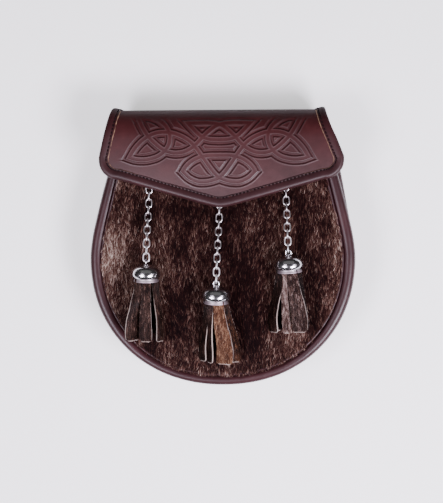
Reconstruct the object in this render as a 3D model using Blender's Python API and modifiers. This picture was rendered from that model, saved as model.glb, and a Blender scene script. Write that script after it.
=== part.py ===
# Sporran pouch: a hollow leather pouch with a hair-on hide front, a folded flap bound at its edge,
# and three short chains that each carry a bell cap and a tassel of hide strips.
# It lies on its back: X across, Y from the bottom to the fold of the flap, Z out of the front.

import math

import bmesh
import bpy
from mathutils import Matrix, Vector

MM = 0.001
GAP = 0.3 * MM  # between pieces that touch

# The pouch's outline, seen from the front: half a superellipse below, sides that draw in above.
BODY_HALF_WIDTH = 96.1 * MM
BODY_WIDEST_Y = -8 * MM
BODY_LOWER_DEPTH = 92.4 * MM
BODY_ROUNDNESS = 2.13
SIDE_NARROWING = 0.215
SIDE_EASE = 15 * MM
BODY_TOP_Y = 76 * MM
FRONT_DRAW_IN = 4.3 * MM  # how much narrower than the back the front is on each side at the top
DRAW_IN_POWER = 1.4
BACK_STEP = 1.6 * MM  # how far the back's edge lies inside the front's round the lower half

BACK_ROLL_RADIUS = 4.4 * MM
FRONT_ROLL_SIDE_RADIUS = 4.4 * MM
FRONT_ROLL_BOTTOM_RADIUS = 3.3 * MM
ROLL_SWELL_HEIGHT = 60 * MM  # over this height the front roll grows to its full radius
FRONT_ROLL_UNDERSIDE_Z = 24.6 * MM

BACK_PANEL_REAR_Z = 6.6 * MM
BACK_PANEL_THICKNESS = 2.4 * MM
BACK_PANEL_TOP_Y = 76 * MM
GUSSET_THICKNESS = 2.0 * MM
GUSSET_BOW = 3.0 * MM

FRONT_THICKNESS = 3.0 * MM
FRONT_RIM_Z = 30.5 * MM
FRONT_DOME = 5.0 * MM
FRONT_TOP_Y = 73 * MM

FLAP_THICKNESS = 2.4 * MM
FLAP_TOP_Y = 98.8 * MM
FLAP_ROOT_Y = 62 * MM
FLAP_REAR_Z = BACK_PANEL_REAR_Z - GAP - FLAP_THICKNESS / 2
FLAP_FRONT_Z = 44.6 * MM
FLAP_SLOPE = math.radians(1.5)  # the front of the flap leans in towards its tip
FLAP_CROWN = 4.0 * MM  # how far its sides drop below its middle
FLAP_ROOT_HALF_WIDTH = 66 * MM
FLAP_FOLD_HALF_WIDTH = 77.6 * MM
FLAP_FOLD_SHIFT = -3.2 * MM  # the flap is cut a little wider on the left than on the right there
FLAP_HALF_WIDTH = 88.4 * MM
FLAP_WIDEST_Y = 64 * MM
FLAP_TIP_Y = 27.8 * MM
FLAP_EDGE_SLOPE = 0.29
FLAP_TIP_EASE = 5 * MM
FLAP_CORNER_RADIUS = 14.2 * MM
FLAP_RADIUS = (FLAP_FRONT_Z - FLAP_REAR_Z) / 2
FLAP_ARC = math.pi + FLAP_SLOPE
FOLD_CENTRE_Y = FLAP_TOP_Y - FLAP_THICKNESS / 2 - FLAP_RADIUS
ROOT_LENGTH = FOLD_CENTRE_Y - FLAP_ROOT_Y

BINDING_THICKNESS = 1.0 * MM
BINDING_STEP = 6.8 * MM  # between the sections that its skin is built from
BINDING_COVER = 2.0 * MM  # from the binding's outside to the flap's own edge
# The binding's section, from its front lip round the edge to its rear lip.
BINDING_SECTION = [
    # inward from the edge, height over the middle of the flap
    (7.4 * MM, 2.3 * MM),
    (2.3 * MM, 2.3 * MM),
    (0.9 * MM, 1.5 * MM),
    (0.5 * MM, 0.0 * MM),
    (0.9 * MM, -1.5 * MM),
    (2.3 * MM, -2.3 * MM),
    (7.4 * MM, -2.3 * MM),
]

STRAP_LOOP_X = 48 * MM
STRAP_LOOP_Y = 34 * MM
STRAP_LOOP_WIDTH = 22 * MM
STRAP_LOOP_THICKNESS = 1.8 * MM
STRAP_WIDTH = 25.4 * MM
STRAP_LOOP_FOOT = 6 * MM
STRAP_LOOP_REAR_Z = 0.4 * MM

STUD_Y = 56 * MM
STUD_RADIUS = 6 * MM
STUD_TAPER = 0.9

LINK_LENGTH = 7.4 * MM
LINK_WIDTH = 5.4 * MM
LINK_WIRE = 1.05 * MM
LINK_CLEARANCE = 0.25 * MM
LINK_SIDES = 10
LINK_PITCH = LINK_LENGTH - 2 * LINK_WIRE - LINK_CLEARANCE
LINK_END = (LINK_LENGTH - LINK_WIRE) / 2
JOINT_TO_HOLE = LINK_END - LINK_PITCH / 2
CHAIN_CLIMB = math.radians(22)  # its steepest slope, halfway from the staple up to the cap

STAPLE_RADIUS = 1.5 * MM
STAPLE_WIRE = 0.9 * MM
STAPLE_PLATE = 0.8 * MM
STAPLE_PLATE_WIDTH = 5 * MM

CAP_RADIUS = 10.3 * MM
CAP_WIDEST_Z = 5.8 * MM
CAP_DOME = 6.8 * MM
CAP_TOP_Z = CAP_WIDEST_Z + CAP_DOME
# The cap's outside below its widest place, down to its rim: radius and height.
CAP_LOWER_PROFILE = [
    (9.7 * MM, 3.8 * MM),
    (8.5 * MM, 2.4 * MM),
    (9.2 * MM, 1.4 * MM),
    (9.2 * MM, 0.0 * MM),
]
CAP_HOLLOW_RADIUS = 7.9 * MM
CAP_HOLLOW_TOP_Z = 11.6 * MM
CAP_STEPS = 12  # round it
EYE_RADIUS = 2.0 * MM
EYE_WIRE = 1.1 * MM
EYE_HEIGHT = CAP_TOP_Z + 1.7 * MM

STRIP_COUNT = 8
STRIP_THICKNESS = 1.5 * MM
STRIP_LENGTH = 43 * MM
STRIP_START_Z = 5 * MM
STRIP_RING_RADIUS = 6.2 * MM
TASSEL_HALF_SPREAD = 13.0 * MM
TASSEL_HALF_DEPTH = 4.6 * MM
TASSEL_FLARE = 0.83  # the share of the strips' length over which they spread
STRIP_SHORTER = 0.03  # each strip differs in length by this share, in a cycle of three
STRIP_SHARE = 0.86  # of the room that each strip has round the tassel
HEAD_RADIUS = 7.0 * MM
HEAD_TAPER = 0.8
HEAD_BOTTOM_Z = 1.0 * MM
HEAD_TOP_Z = 6.5 * MM

# Each drop: where its chain is fixed, how many links it has and how far it leans to the side.
DROPS = [
    # name, x, y of the staple, links, lean in degrees
    ("left", -52.0 * MM, 44 * MM, 11, -0.7),
    ("centre", -1.0 * MM, 33.5 * MM, 12, -1.3),
    ("right", 46.3 * MM, 45.6 * MM, 10, 2.8),
]

LEATHER = ("dark_leather", (0.055, 0.014, 0.013), 0.45, 0.0)
FUR = ("hair_on_hide", (0.06, 0.038, 0.03), 0.9, 0.0)
CHROME = ("plated_metal", (0.75, 0.75, 0.76), 0.15, 1.0)
HIDE_STRIP = ("hide_strip", (0.11, 0.065, 0.045), 0.85, 0.0)


def clear_scene():
    for obj in list(bpy.data.objects):
        bpy.data.objects.remove(obj, do_unlink=True)


def new_collection(name):
    collection = bpy.data.collections.new(name)
    bpy.context.scene.collection.children.link(collection)
    return collection


def new_material(name, finish):
    label, colour, roughness, metallic = finish
    material = bpy.data.materials.new(f"{name}_{label}")
    material.use_nodes = True
    shader = material.node_tree.nodes["Principled BSDF"]
    shader.inputs["Base Color"].default_value = (*colour, 1.0)
    shader.inputs["Roughness"].default_value = roughness
    shader.inputs["Metallic"].default_value = metallic
    return material


def add_object(name, data, finish, collection):
    obj = bpy.data.objects.new(name, data)
    if finish:
        data.materials.append(new_material(name, finish))
    collection.objects.link(obj)
    return obj


def smooth(mesh):
    mesh.shade_smooth()
    mesh.set_sharp_from_angle(angle=math.radians(35))


def eased(value):
    value = min(max(value, 0.0), 1.0)
    return value * value * (3 - 2 * value)


def sheet(name, columns, rows, place, thickness, finish, collection):
    """An open grid, bent by place(u, v) with u from -1 to 1 and v from 0 to 1, and given a wall."""
    grid = bmesh.new()
    bmesh.ops.create_grid(grid, x_segments=columns, y_segments=rows, size=1.0)
    for vert in grid.verts:
        vert.co = place(vert.co.x, (vert.co.y + 1) / 2)
    mesh = bpy.data.meshes.new(name)
    grid.to_mesh(mesh)
    grid.free()
    smooth(mesh)
    obj = add_object(name, mesh, finish, collection)
    wall = obj.modifiers.new("wall", "SOLIDIFY")
    wall.thickness = thickness
    wall.offset = 0
    return obj


def roll(name, points, radii, collection):
    curve = bpy.data.curves.new(name, "CURVE")
    curve.dimensions = "3D"
    curve.bevel_depth = max(radii)
    curve.bevel_resolution = 2
    curve.use_fill_caps = True
    spline = curve.splines.new("POLY")
    spline.points.add(len(points) - 1)
    for point, place, radius in zip(spline.points, points, radii):
        point.co = (*place, 1.0)
        point.radius = radius / max(radii)
    add_object(name, curve, LEATHER, collection)


def union(obj, others):
    """Joins the shapes in a helper collection to the object."""
    join = obj.modifiers.new("joined", "BOOLEAN")
    join.operation = "UNION"
    join.operand_type = "COLLECTION"
    join.collection = others


def hide_helpers(collection):
    collection.hide_render = True
    for obj in collection.objects:
        obj.hide_render = True
        obj.display_type = "WIRE"


# The body


def side_half_width(y):
    """Half the pouch's width at y, above its widest place."""
    rise = y - BODY_WIDEST_Y
    return BODY_HALF_WIDTH - SIDE_NARROWING * (math.hypot(rise, SIDE_EASE) - SIDE_EASE)


def lower_point(angle, inset):
    """A point of the rounded lower half: angle 0 is the widest place on the right, 90 the bottom."""
    power = 2 / BODY_ROUNDNESS
    across = (BODY_HALF_WIDTH - inset) * abs(math.cos(angle)) ** power
    down = (BODY_LOWER_DEPTH - inset) * abs(math.sin(angle)) ** power
    return math.copysign(across, math.cos(angle)), BODY_WIDEST_Y - down


def u_outline(inset, top, side_steps=6, lower_steps=24):
    """The U of the pouch's edge, from the top right round the bottom to the top left."""
    right = []
    for step in range(side_steps):
        y = top + (BODY_WIDEST_Y - top) * step / side_steps
        right.append((side_half_width(y) - inset, y))
    left = [(-x, y) for x, y in reversed(right)]
    lower = [
        lower_point(math.pi * step / lower_steps, inset) for step in range(lower_steps + 1)
    ]
    return right + lower + left


def upper_share(y):
    """0 at the pouch's widest place and below it, 1 at its top."""
    return max((y - BODY_WIDEST_Y) / (BODY_TOP_Y - BODY_WIDEST_Y), 0.0)


def front_draw_in(y):
    """How far the front's edge lies inside the outline on each side."""
    return FRONT_DRAW_IN * upper_share(y) ** DRAW_IN_POWER


def back_draw_in(y):
    """How far the back's edge lies inside the outline."""
    return BACK_STEP * (1 - upper_share(y))


def moved_out(x, y, distance):
    """The point moved away from the middle of the pouch's widest line."""
    scale = 1 + distance / math.hypot(x, y - BODY_WIDEST_Y)
    return x * scale, BODY_WIDEST_Y + (y - BODY_WIDEST_Y) * scale


def front_roll_radius(y):
    bottom = BODY_WIDEST_Y - BODY_LOWER_DEPTH
    share = eased((y - bottom) / ROLL_SWELL_HEIGHT)
    return FRONT_ROLL_BOTTOM_RADIUS + (FRONT_ROLL_SIDE_RADIUS - FRONT_ROLL_BOTTOM_RADIUS) * share


def front_height(x, y):
    """The height of the fur front's outer face."""
    across = min(abs(x) / BODY_HALF_WIDTH, 1.0)
    down = min(max((BODY_WIDEST_Y - y) / BODY_LOWER_DEPTH, 0.0), 1.0)
    return FRONT_RIM_Z + FRONT_DOME * (1 - across**4) * (1 - down**4)


def build_back_panel(parts):
    inset = 2 * BACK_ROLL_RADIUS + GAP
    outline = [moved_out(x, y, -back_draw_in(y)) for x, y in u_outline(inset, BACK_PANEL_TOP_Y)]
    curve = bpy.data.curves.new("back_panel", "CURVE")
    curve.dimensions = "2D"
    curve.fill_mode = "BOTH"
    curve.extrude = BACK_PANEL_THICKNESS / 2
    spline = curve.splines.new("POLY")
    spline.points.add(len(outline) - 1)
    spline.use_cyclic_u = True
    for point, (x, y) in zip(spline.points, outline):
        point.co = (x, y, 0, 1)
    panel = add_object("back_panel", curve, LEATHER, parts)
    panel.location.z = BACK_PANEL_REAR_Z + BACK_PANEL_THICKNESS / 2


def build_rolls(parts):
    back = [
        (*moved_out(x, y, -back_draw_in(y)), BACK_ROLL_RADIUS)
        for x, y in u_outline(BACK_ROLL_RADIUS, BODY_TOP_Y)
    ]
    roll("back_piping", back, [BACK_ROLL_RADIUS] * len(back), parts)
    front = []
    radii = []
    for x, y in u_outline(FRONT_ROLL_SIDE_RADIUS, BODY_TOP_Y):
        radius = front_roll_radius(y)
        # keeps the outer edge of the thinner roll in place
        across, along = moved_out(x, y, FRONT_ROLL_SIDE_RADIUS - radius)
        across -= math.copysign(front_draw_in(y), x)
        front.append((across, along, FRONT_ROLL_UNDERSIDE_Z + radius))
        radii.append(radius)
    roll("front_piping", front, radii, parts)


def build_gusset(parts):
    bottom = 2 * BACK_ROLL_RADIUS + GAP
    top = FRONT_ROLL_UNDERSIDE_Z - GAP
    outline = u_outline(BACK_ROLL_RADIUS, BODY_TOP_Y)
    last = len(outline) - 1

    def place(u, v):
        x, y = outline[round(v * last)]
        forward = (u + 1) / 2
        drawn_in = GUSSET_BOW * (1 - u * u) + back_draw_in(y) * (1 - forward)
        across, along = moved_out(x, y, -drawn_in)
        across -= math.copysign(front_draw_in(y) * forward, x)
        return Vector((across, along, bottom + (top - bottom) * forward))

    sheet("gusset", 3, last, place, GUSSET_THICKNESS, LEATHER, parts)


def build_fur_front(parts):
    lowest = math.radians(82)  # the last row, a short straight edge at the bottom

    def place(u, v):
        if v < 0.5:
            y = FRONT_TOP_Y + (BODY_WIDEST_Y - FRONT_TOP_Y) * v * 2
            half = side_half_width(y) - 2 * front_roll_radius(y) - front_draw_in(y) - GAP
        else:
            angle = (v - 0.5) * 2 * lowest
            outer = lower_point(angle, 0)[1]
            half, y = lower_point(angle, 2 * front_roll_radius(outer) + GAP)
        x = half * math.sin(u * math.pi / 2)
        return Vector((x, y, front_height(x, y) - FRONT_THICKNESS / 2))

    sheet("fur_front", 12, 12, place, FRONT_THICKNESS, FUR, parts)


# The flap. It is laid out flat, x across and s along it from its root, and then bent.


def flap_bend(x, s, height=0.0):
    """The place of a point of the flat flap, at a height over its middle surface."""
    arc_end = ROOT_LENGTH + FLAP_RADIUS * FLAP_ARC
    angle = min(max((s - ROOT_LENGTH) / FLAP_RADIUS, 0.0), FLAP_ARC)
    along = min(s - ROOT_LENGTH, 0.0) + max(s - arc_end, 0.0)
    crown = FLAP_CROWN * (x / FLAP_HALF_WIDTH) ** 2
    out = FLAP_RADIUS + height - crown * eased(2 * angle / math.pi - 1)
    y = FOLD_CENTRE_Y + out * math.sin(angle) + along * math.cos(angle)
    z = FLAP_REAR_Z + FLAP_RADIUS - out * math.cos(angle) + along * math.sin(angle)
    return Vector((x, y, z))


def flap_length_to(y):
    """The distance along the flap at which its front reaches y."""
    arc_end = ROOT_LENGTH + FLAP_RADIUS * FLAP_ARC
    return arc_end + (FOLD_CENTRE_Y - y) / math.cos(FLAP_SLOPE)


def flap_sides(s):
    """The x of the bound flap's middle and half its width at s, down to where its corners begin."""
    y = flap_bend(0.0, s).y
    if s < ROOT_LENGTH + FLAP_RADIUS * math.pi / 2:
        share = (y - FLAP_ROOT_Y) / (FLAP_TOP_Y - FLAP_ROOT_Y)
        half = FLAP_ROOT_HALF_WIDTH
    else:
        share = max((y - FLAP_WIDEST_Y) / (FLAP_TOP_Y - FLAP_WIDEST_Y), 0.0)
        half = FLAP_HALF_WIDTH
    return FLAP_FOLD_SHIFT * share, half + (FLAP_FOLD_HALF_WIDTH - half) * share


def flap_lower_edge(x):
    """The y of the bound flap's lower edge: a blunt point, sloping sides and round corners."""
    x = abs(x)
    corner_x = FLAP_HALF_WIDTH - FLAP_CORNER_RADIUS
    slope = FLAP_EDGE_SLOPE * (math.hypot(min(x, corner_x), FLAP_TIP_EASE) - FLAP_TIP_EASE)
    edge = FLAP_TIP_Y + slope
    if x > corner_x:
        across = min(x - corner_x, FLAP_CORNER_RADIUS)
        edge += FLAP_CORNER_RADIUS - math.sqrt(FLAP_CORNER_RADIUS**2 - across**2)
    return edge


def build_flap(parts):
    def place(u, v):
        share = math.sin(u * math.pi / 2)
        end = flap_length_to(flap_lower_edge(share * FLAP_HALF_WIDTH)) - BINDING_COVER
        s = end * v
        middle, half = flap_sides(s)
        return flap_bend(middle + share * (half - BINDING_COVER), s)

    sheet("flap", 14, 22, place, FLAP_THICKNESS, LEATHER, parts)


def flap_edge_path(step):
    """Evenly spaced places (x, s) along the flap's outer edge, from the right rear to the left rear."""
    side = []
    start = ROOT_LENGTH + 2 * MM
    end = flap_length_to(flap_lower_edge(FLAP_HALF_WIDTH))
    other_side = []
    for index in range(40):
        s = start + (end - start) * index / 40
        middle, half = flap_sides(s)
        side.append((middle + half, s))
        other_side.append((middle - half, s))
    lower = []
    for index in range(161):
        x = FLAP_HALF_WIDTH * math.cos(math.pi * index / 160)
        lower.append((x, flap_length_to(flap_lower_edge(x))))
    fine = side + lower + other_side[::-1]
    lengths = [0.0]
    for (x0, s0), (x1, s1) in zip(fine, fine[1:]):
        lengths.append(lengths[-1] + math.hypot(x1 - x0, s1 - s0))
    count = round(lengths[-1] / step)
    path = []
    at = 0
    for index in range(count + 1):
        want = lengths[-1] * index / count
        while at < len(fine) - 2 and lengths[at + 1] < want:
            at += 1
        share = (want - lengths[at]) / (lengths[at + 1] - lengths[at])
        (x0, s0), (x1, s1) = fine[at], fine[at + 1]
        path.append((x0 + (x1 - x0) * share, s0 + (s1 - s0) * share))
    return path


def build_flap_binding(parts):
    path = flap_edge_path(BINDING_STEP)
    last = len(path) - 1
    columns = len(BINDING_SECTION) - 1

    def place(u, v):
        index = round(v * last)
        before = path[max(index - 1, 0)]
        after = path[min(index + 1, last)]
        along = Vector((after[0] - before[0], after[1] - before[1])).normalized()
        inward, height = BINDING_SECTION[round((u + 1) / 2 * columns)]
        x = path[index][0] - along.y * inward
        s = path[index][1] + along.x * inward
        return flap_bend(x, s, height)

    sheet("flap_binding", columns, last, place, BINDING_THICKNESS, LEATHER, parts)


def build_strap_loops(parts):
    foot_z = BACK_PANEL_REAR_Z - GAP - STRAP_LOOP_THICKNESS / 2
    strip_z = STRAP_LOOP_REAR_Z + STRAP_LOOP_THICKNESS / 2
    bend_y = STRAP_WIDTH / 2 + STRAP_LOOP_THICKNESS / 2
    profile = [
        # y, z of the strip's middle
        (-bend_y - STRAP_LOOP_FOOT, foot_z),
        (-bend_y, foot_z),
        (-bend_y, strip_z),
        (bend_y, strip_z),
        (bend_y, foot_z),
        (bend_y + STRAP_LOOP_FOOT, foot_z),
    ]
    rows = len(profile) - 1
    for side, direction in (("left", -1), ("right", 1)):

        def place(u, v):
            y, z = profile[round(v * rows)]
            return Vector((u * STRAP_LOOP_WIDTH / 2, y, z))

        loop = sheet(
            f"strap_loop_{side}", 1, rows, place, STRAP_LOOP_THICKNESS, LEATHER, parts
        )
        loop.modifiers["wall"].use_even_offset = True
        loop.location = (direction * STRAP_LOOP_X, STRAP_LOOP_Y, 0)


def build_press_stud(parts):
    bottom = front_height(0, STUD_Y) + GAP
    top = flap_bend(0, flap_length_to(STUD_Y)).z - FLAP_THICKNESS / 2 - GAP
    solid = bmesh.new()
    bmesh.ops.create_cone(
        solid,
        cap_ends=True,
        segments=20,
        radius1=STUD_RADIUS,
        radius2=STUD_RADIUS * STUD_TAPER,
        depth=top - bottom,
    )
    mesh = bpy.data.meshes.new("press_stud")
    solid.to_mesh(mesh)
    solid.free()
    smooth(mesh)
    stud = add_object("press_stud", mesh, CHROME, parts)
    stud.location = (0, STUD_Y, (bottom + top) / 2)


# The drops


def ring_mesh(name, radius, wire, segments=12, sides=5):
    """A ring about its own X axis."""
    ring = bmesh.new()
    circle = bmesh.ops.create_circle(ring, segments=sides, radius=wire / 2)["verts"]
    bmesh.ops.translate(ring, verts=circle, vec=(radius, 0, 0))
    bmesh.ops.rotate(ring, verts=circle, matrix=Matrix.Rotation(math.pi / 2, 3, "X"))
    bmesh.ops.spin(
        ring,
        geom=ring.verts[:] + ring.edges[:],
        axis=(0, 0, 1),
        cent=(0, 0, 0),
        angle=2 * math.pi,
        steps=segments,
        use_merge=True,
    )
    bmesh.ops.remove_doubles(ring, verts=ring.verts, dist=0.01 * MM)
    bmesh.ops.rotate(ring, verts=ring.verts, matrix=Matrix.Rotation(math.pi / 2, 3, "Y"))
    bmesh.ops.recalc_face_normals(ring, faces=ring.faces)
    mesh = bpy.data.meshes.new(name)
    ring.to_mesh(mesh)
    ring.free()
    smooth(mesh)
    return mesh


def link_curve():
    """One oval link, its length along Y and its plane XY."""
    curve = bpy.data.curves.new("chain_link", "CURVE")
    curve.dimensions = "3D"
    curve.bevel_depth = LINK_WIRE / 2
    curve.bevel_resolution = 1
    spline = curve.splines.new("POLY")
    spline.points.add(LINK_SIDES - 1)
    spline.use_cyclic_u = True
    bend = (LINK_WIDTH - LINK_WIRE) / 2
    straight = LINK_END - bend
    for index, point in enumerate(spline.points):
        angle = 2 * math.pi * (index + 0.5) / LINK_SIDES
        end = math.copysign(straight, math.sin(angle))
        point.co = (bend * math.cos(angle), end + bend * math.sin(angle), 0, 1)
    return curve


def build_staple(name, hole, parts, helpers):
    """A ring that stands on a small plate, with the chain's first link through it."""
    shape = new_collection(f"{name}_plate")
    helpers.append(shape)
    solid = bmesh.new()
    bmesh.ops.create_cube(solid, size=1.0)
    below = front_height(hole.x, hole.y) + GAP
    size = (STAPLE_PLATE_WIDTH, STAPLE_PLATE_WIDTH, STAPLE_PLATE)
    bmesh.ops.scale(solid, verts=solid.verts, vec=size)
    mesh = bpy.data.meshes.new(f"{name}_plate")
    solid.to_mesh(mesh)
    solid.free()
    plate = add_object(f"{name}_plate", mesh, None, shape)
    plate.location = (hole.x, hole.y, below + STAPLE_PLATE / 2)
    hide_helpers(shape)
    ring = add_object(name, ring_mesh(name, STAPLE_RADIUS, STAPLE_WIRE), CHROME, parts)
    ring.location = hole
    union(ring, shape)


def staple_hole(x, y):
    ring_bottom = front_height(x, y) + GAP + STAPLE_PLATE / 2
    return Vector((x, y, ring_bottom + STAPLE_RADIUS + STAPLE_WIRE / 2))


def build_chain(drop, hole, count, lean, curve, parts):
    """Links from the staple to the cap's eye, each turned a quarter from the one before. Returns the eye."""
    sideways = Vector((math.sin(lean), 0, 0))
    joint = hole - Vector((0, JOINT_TO_HOLE, 0))
    for index in range(count):
        slope = CHAIN_CLIMB * math.sin(math.pi * (index + 0.5) / count) ** 2
        along = Vector((0, -math.cos(slope), math.sin(slope))) + sideways
        along.normalize()
        link = add_object(f"chain_{drop}_link_{index + 1:02d}", curve, None, parts)
        link.location = joint + along * LINK_PITCH / 2
        upright = along.cross(Vector((1, 0, 0))).normalized()
        across = upright.cross(along)
        axes = Matrix((across, along, across.cross(along))).transposed()
        quarter = Matrix.Rotation(math.pi / 2 * (index % 2), 3, "Y")
        link.rotation_euler = (axes @ quarter).to_euler()
        joint = joint + along * LINK_PITCH
    return joint + along * JOINT_TO_HOLE


def cap_profile():
    """The cap's outer side from its top to its rim, and back up inside."""
    outer = []
    for step in range(5):
        angle = math.pi / 2 * step / 4
        outer.append((CAP_RADIUS * math.sin(angle), CAP_WIDEST_Z + CAP_DOME * math.cos(angle)))
    inner = [(CAP_HOLLOW_RADIUS, 0.0)]
    hollow_dome = CAP_HOLLOW_TOP_Z - CAP_WIDEST_Z
    for step in range(4):
        angle = math.pi / 2 * (1 - step / 3)
        inner.append((CAP_HOLLOW_RADIUS * math.sin(angle), CAP_WIDEST_Z + hollow_dome * math.cos(angle)))
    return outer + CAP_LOWER_PROFILE + inner


def build_cap(drop, eye_stands, parts, helpers):
    name = f"tassel_cap_{drop}"
    profile = cap_profile()
    mesh = bpy.data.meshes.new(name)
    edges = [(index, index + 1) for index in range(len(profile) - 1)]
    mesh.from_pydata([(r, 0, z) for r, z in profile], edges, [])
    cap = add_object(name, mesh, CHROME, parts)
    turned = cap.modifiers.new("turned", "SCREW")
    turned.steps = CAP_STEPS
    turned.render_steps = CAP_STEPS
    turned.use_merge_vertices = True
    turned.merge_threshold = 0.01 * MM
    shape = new_collection(f"{name}_eye")
    helpers.append(shape)
    eye = add_object(f"{name}_eye", ring_mesh(f"{name}_eye", EYE_RADIUS, EYE_WIRE), None, shape)
    eye.location.z = EYE_HEIGHT
    eye.rotation_euler.z = 0 if eye_stands else math.pi / 2
    hide_helpers(shape)
    union(cap, shape)
    return cap, eye


def build_tassel(drop, parts, helpers):
    """Strips round an oval, fused to a head inside the cap. The oval flattens towards its cut ends."""
    name = f"tassel_{drop}"
    shape = new_collection(f"{name}_strips")
    helpers.append(shape)
    strips = []
    for index in range(STRIP_COUNT):
        middle = 2 * math.pi * (index + 0.5) / STRIP_COUNT
        length = STRIP_LENGTH * (1 - STRIP_SHORTER * (index % 3))

        def place(u, v):
            flare = eased(v / TASSEL_FLARE)
            spread = STRIP_RING_RADIUS + (TASSEL_HALF_SPREAD - STRIP_RING_RADIUS) * flare
            depth = STRIP_RING_RADIUS + (TASSEL_HALF_DEPTH - STRIP_RING_RADIUS) * flare
            angle = middle + u * STRIP_SHARE * math.pi / STRIP_COUNT
            z = STRIP_START_Z - (length + STRIP_START_Z) * v
            return Vector((spread * math.cos(angle), depth * math.sin(angle), z))

        strips.append(
            sheet(f"{name}_strip_{index}", 2, 3, place, STRIP_THICKNESS, None, shape)
        )
    hide_helpers(shape)
    solid = bmesh.new()
    bmesh.ops.create_cone(
        solid,
        cap_ends=True,
        segments=16,
        radius1=HEAD_RADIUS,
        radius2=HEAD_RADIUS * HEAD_TAPER,
        depth=HEAD_TOP_Z - HEAD_BOTTOM_Z,
    )
    bmesh.ops.translate(solid, verts=solid.verts, vec=(0, 0, (HEAD_TOP_Z + HEAD_BOTTOM_Z) / 2))
    mesh = bpy.data.meshes.new(name)
    solid.to_mesh(mesh)
    solid.free()
    tassel = add_object(name, mesh, HIDE_STRIP, parts)
    union(tassel, shape)
    return tassel, strips


def build_drop(drop, x, y, count, lean, curve, parts, helpers):
    lean = math.radians(lean)
    hole = staple_hole(x, y)
    build_staple(f"chain_staple_{drop}", hole, parts, helpers)
    eye_place = build_chain(drop, hole, count, lean, curve, parts)
    # The strips' lower ends come down to the fur.
    end_y = eye_place.y - EYE_HEIGHT - STRIP_LENGTH
    end_z = front_height(eye_place.x, end_y) + TASSEL_HALF_DEPTH + STRIP_THICKNESS
    tilt = math.atan2(eye_place.z - end_z, EYE_HEIGHT + STRIP_LENGTH)
    hanger = bpy.data.objects.new(f"drop_{drop}", None)
    parts.objects.link(hanger)
    hanger.location = eye_place
    hanger.rotation_euler = (tilt - math.pi / 2, 0, lean)
    cap, eye = build_cap(drop, count % 2 == 1, parts, helpers)
    tassel, strips = build_tassel(drop, parts, helpers)
    for piece in [cap, tassel] + strips:
        piece.parent = hanger
        piece.location.z -= EYE_HEIGHT
    eye.parent = hanger
    eye.location.z -= EYE_HEIGHT


def build_sporran():
    clear_scene()
    parts = new_collection("sporran_pouch")
    build_back_panel(parts)
    build_rolls(parts)
    build_gusset(parts)
    build_fur_front(parts)
    build_flap(parts)
    build_flap_binding(parts)
    build_strap_loops(parts)
    build_press_stud(parts)
    helpers = []
    curve = link_curve()
    curve.materials.append(new_material("chain_link", CHROME))
    for drop, x, y, count, lean in DROPS:
        build_drop(drop, x, y, count, lean, curve, parts, helpers)


build_sporran()
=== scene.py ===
# Dresses the sporran pouch for a product shot: pressed and bound leather, a hair-on hide front,
# plated chains with bell caps, and tassels of hide strips. Units are metres, mm makes them readable.
import math

import bmesh
import bpy
import numpy as np
from mathutils import Matrix, Vector, noise


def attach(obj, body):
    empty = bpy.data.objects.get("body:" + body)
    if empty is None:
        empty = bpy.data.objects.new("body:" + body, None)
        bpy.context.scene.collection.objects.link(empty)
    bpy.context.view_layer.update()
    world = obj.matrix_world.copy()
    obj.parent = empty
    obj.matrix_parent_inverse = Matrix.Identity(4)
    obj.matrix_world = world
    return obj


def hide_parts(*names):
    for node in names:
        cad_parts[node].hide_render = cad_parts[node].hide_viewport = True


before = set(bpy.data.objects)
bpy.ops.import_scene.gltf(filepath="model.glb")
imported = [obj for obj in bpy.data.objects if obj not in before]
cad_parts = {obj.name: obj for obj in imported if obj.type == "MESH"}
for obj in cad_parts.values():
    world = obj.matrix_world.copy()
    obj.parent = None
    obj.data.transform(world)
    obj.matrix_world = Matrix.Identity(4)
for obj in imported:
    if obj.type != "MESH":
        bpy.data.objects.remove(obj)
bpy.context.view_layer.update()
mm = 0.001
scene = bpy.context.scene
repeatedShapes = []  # what the geometry trees repeat, thrown away at the end


def linear(hexColour):
    # an sRGB hex value as Blender's linear colour
    parts = [int(hexColour[i : i + 2], 16) / 255 for i in (1, 3, 5)]
    return (*[c / 12.92 if c <= 0.04045 else ((c + 0.055) / 1.055) ** 2.4 for c in parts], 1.0)


def feed(tree, node, inputs):
    # sets a node's inputs, each from a value or from the socket that feeds it
    for key, value in inputs.items() if isinstance(inputs, dict) else enumerate(inputs):
        if isinstance(value, bpy.types.NodeSocket):
            tree.links.new(value, node.inputs[key])
        else:
            node.inputs[key].default_value = value


def addNode(tree, kind, inputs=(), output=0, stops=(), **settings):
    # one node with its settings, its inputs and a colour ramp's stops (position, sRGB hex); gives an output
    node = tree.nodes.new(kind)
    for key, value in settings.items():
        setattr(node, key, value)
    for _ in stops[2:]:
        node.color_ramp.elements.new(0.5)
    for index, (position, colour) in enumerate(stops):
        node.color_ramp.elements[index].position = position
        node.color_ramp.elements[index].color = linear(colour)
    feed(tree, node, inputs)
    return node.outputs[output] if len(node.outputs) else None


def newMaterial(name, values):
    # a Principled material; values are its constant sockets
    material = bpy.data.materials.new(name)
    material.use_nodes = True
    shader = material.node_tree.nodes["Principled BSDF"]
    feed(material.node_tree, shader, values)
    return material, material.node_tree, shader


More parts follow.
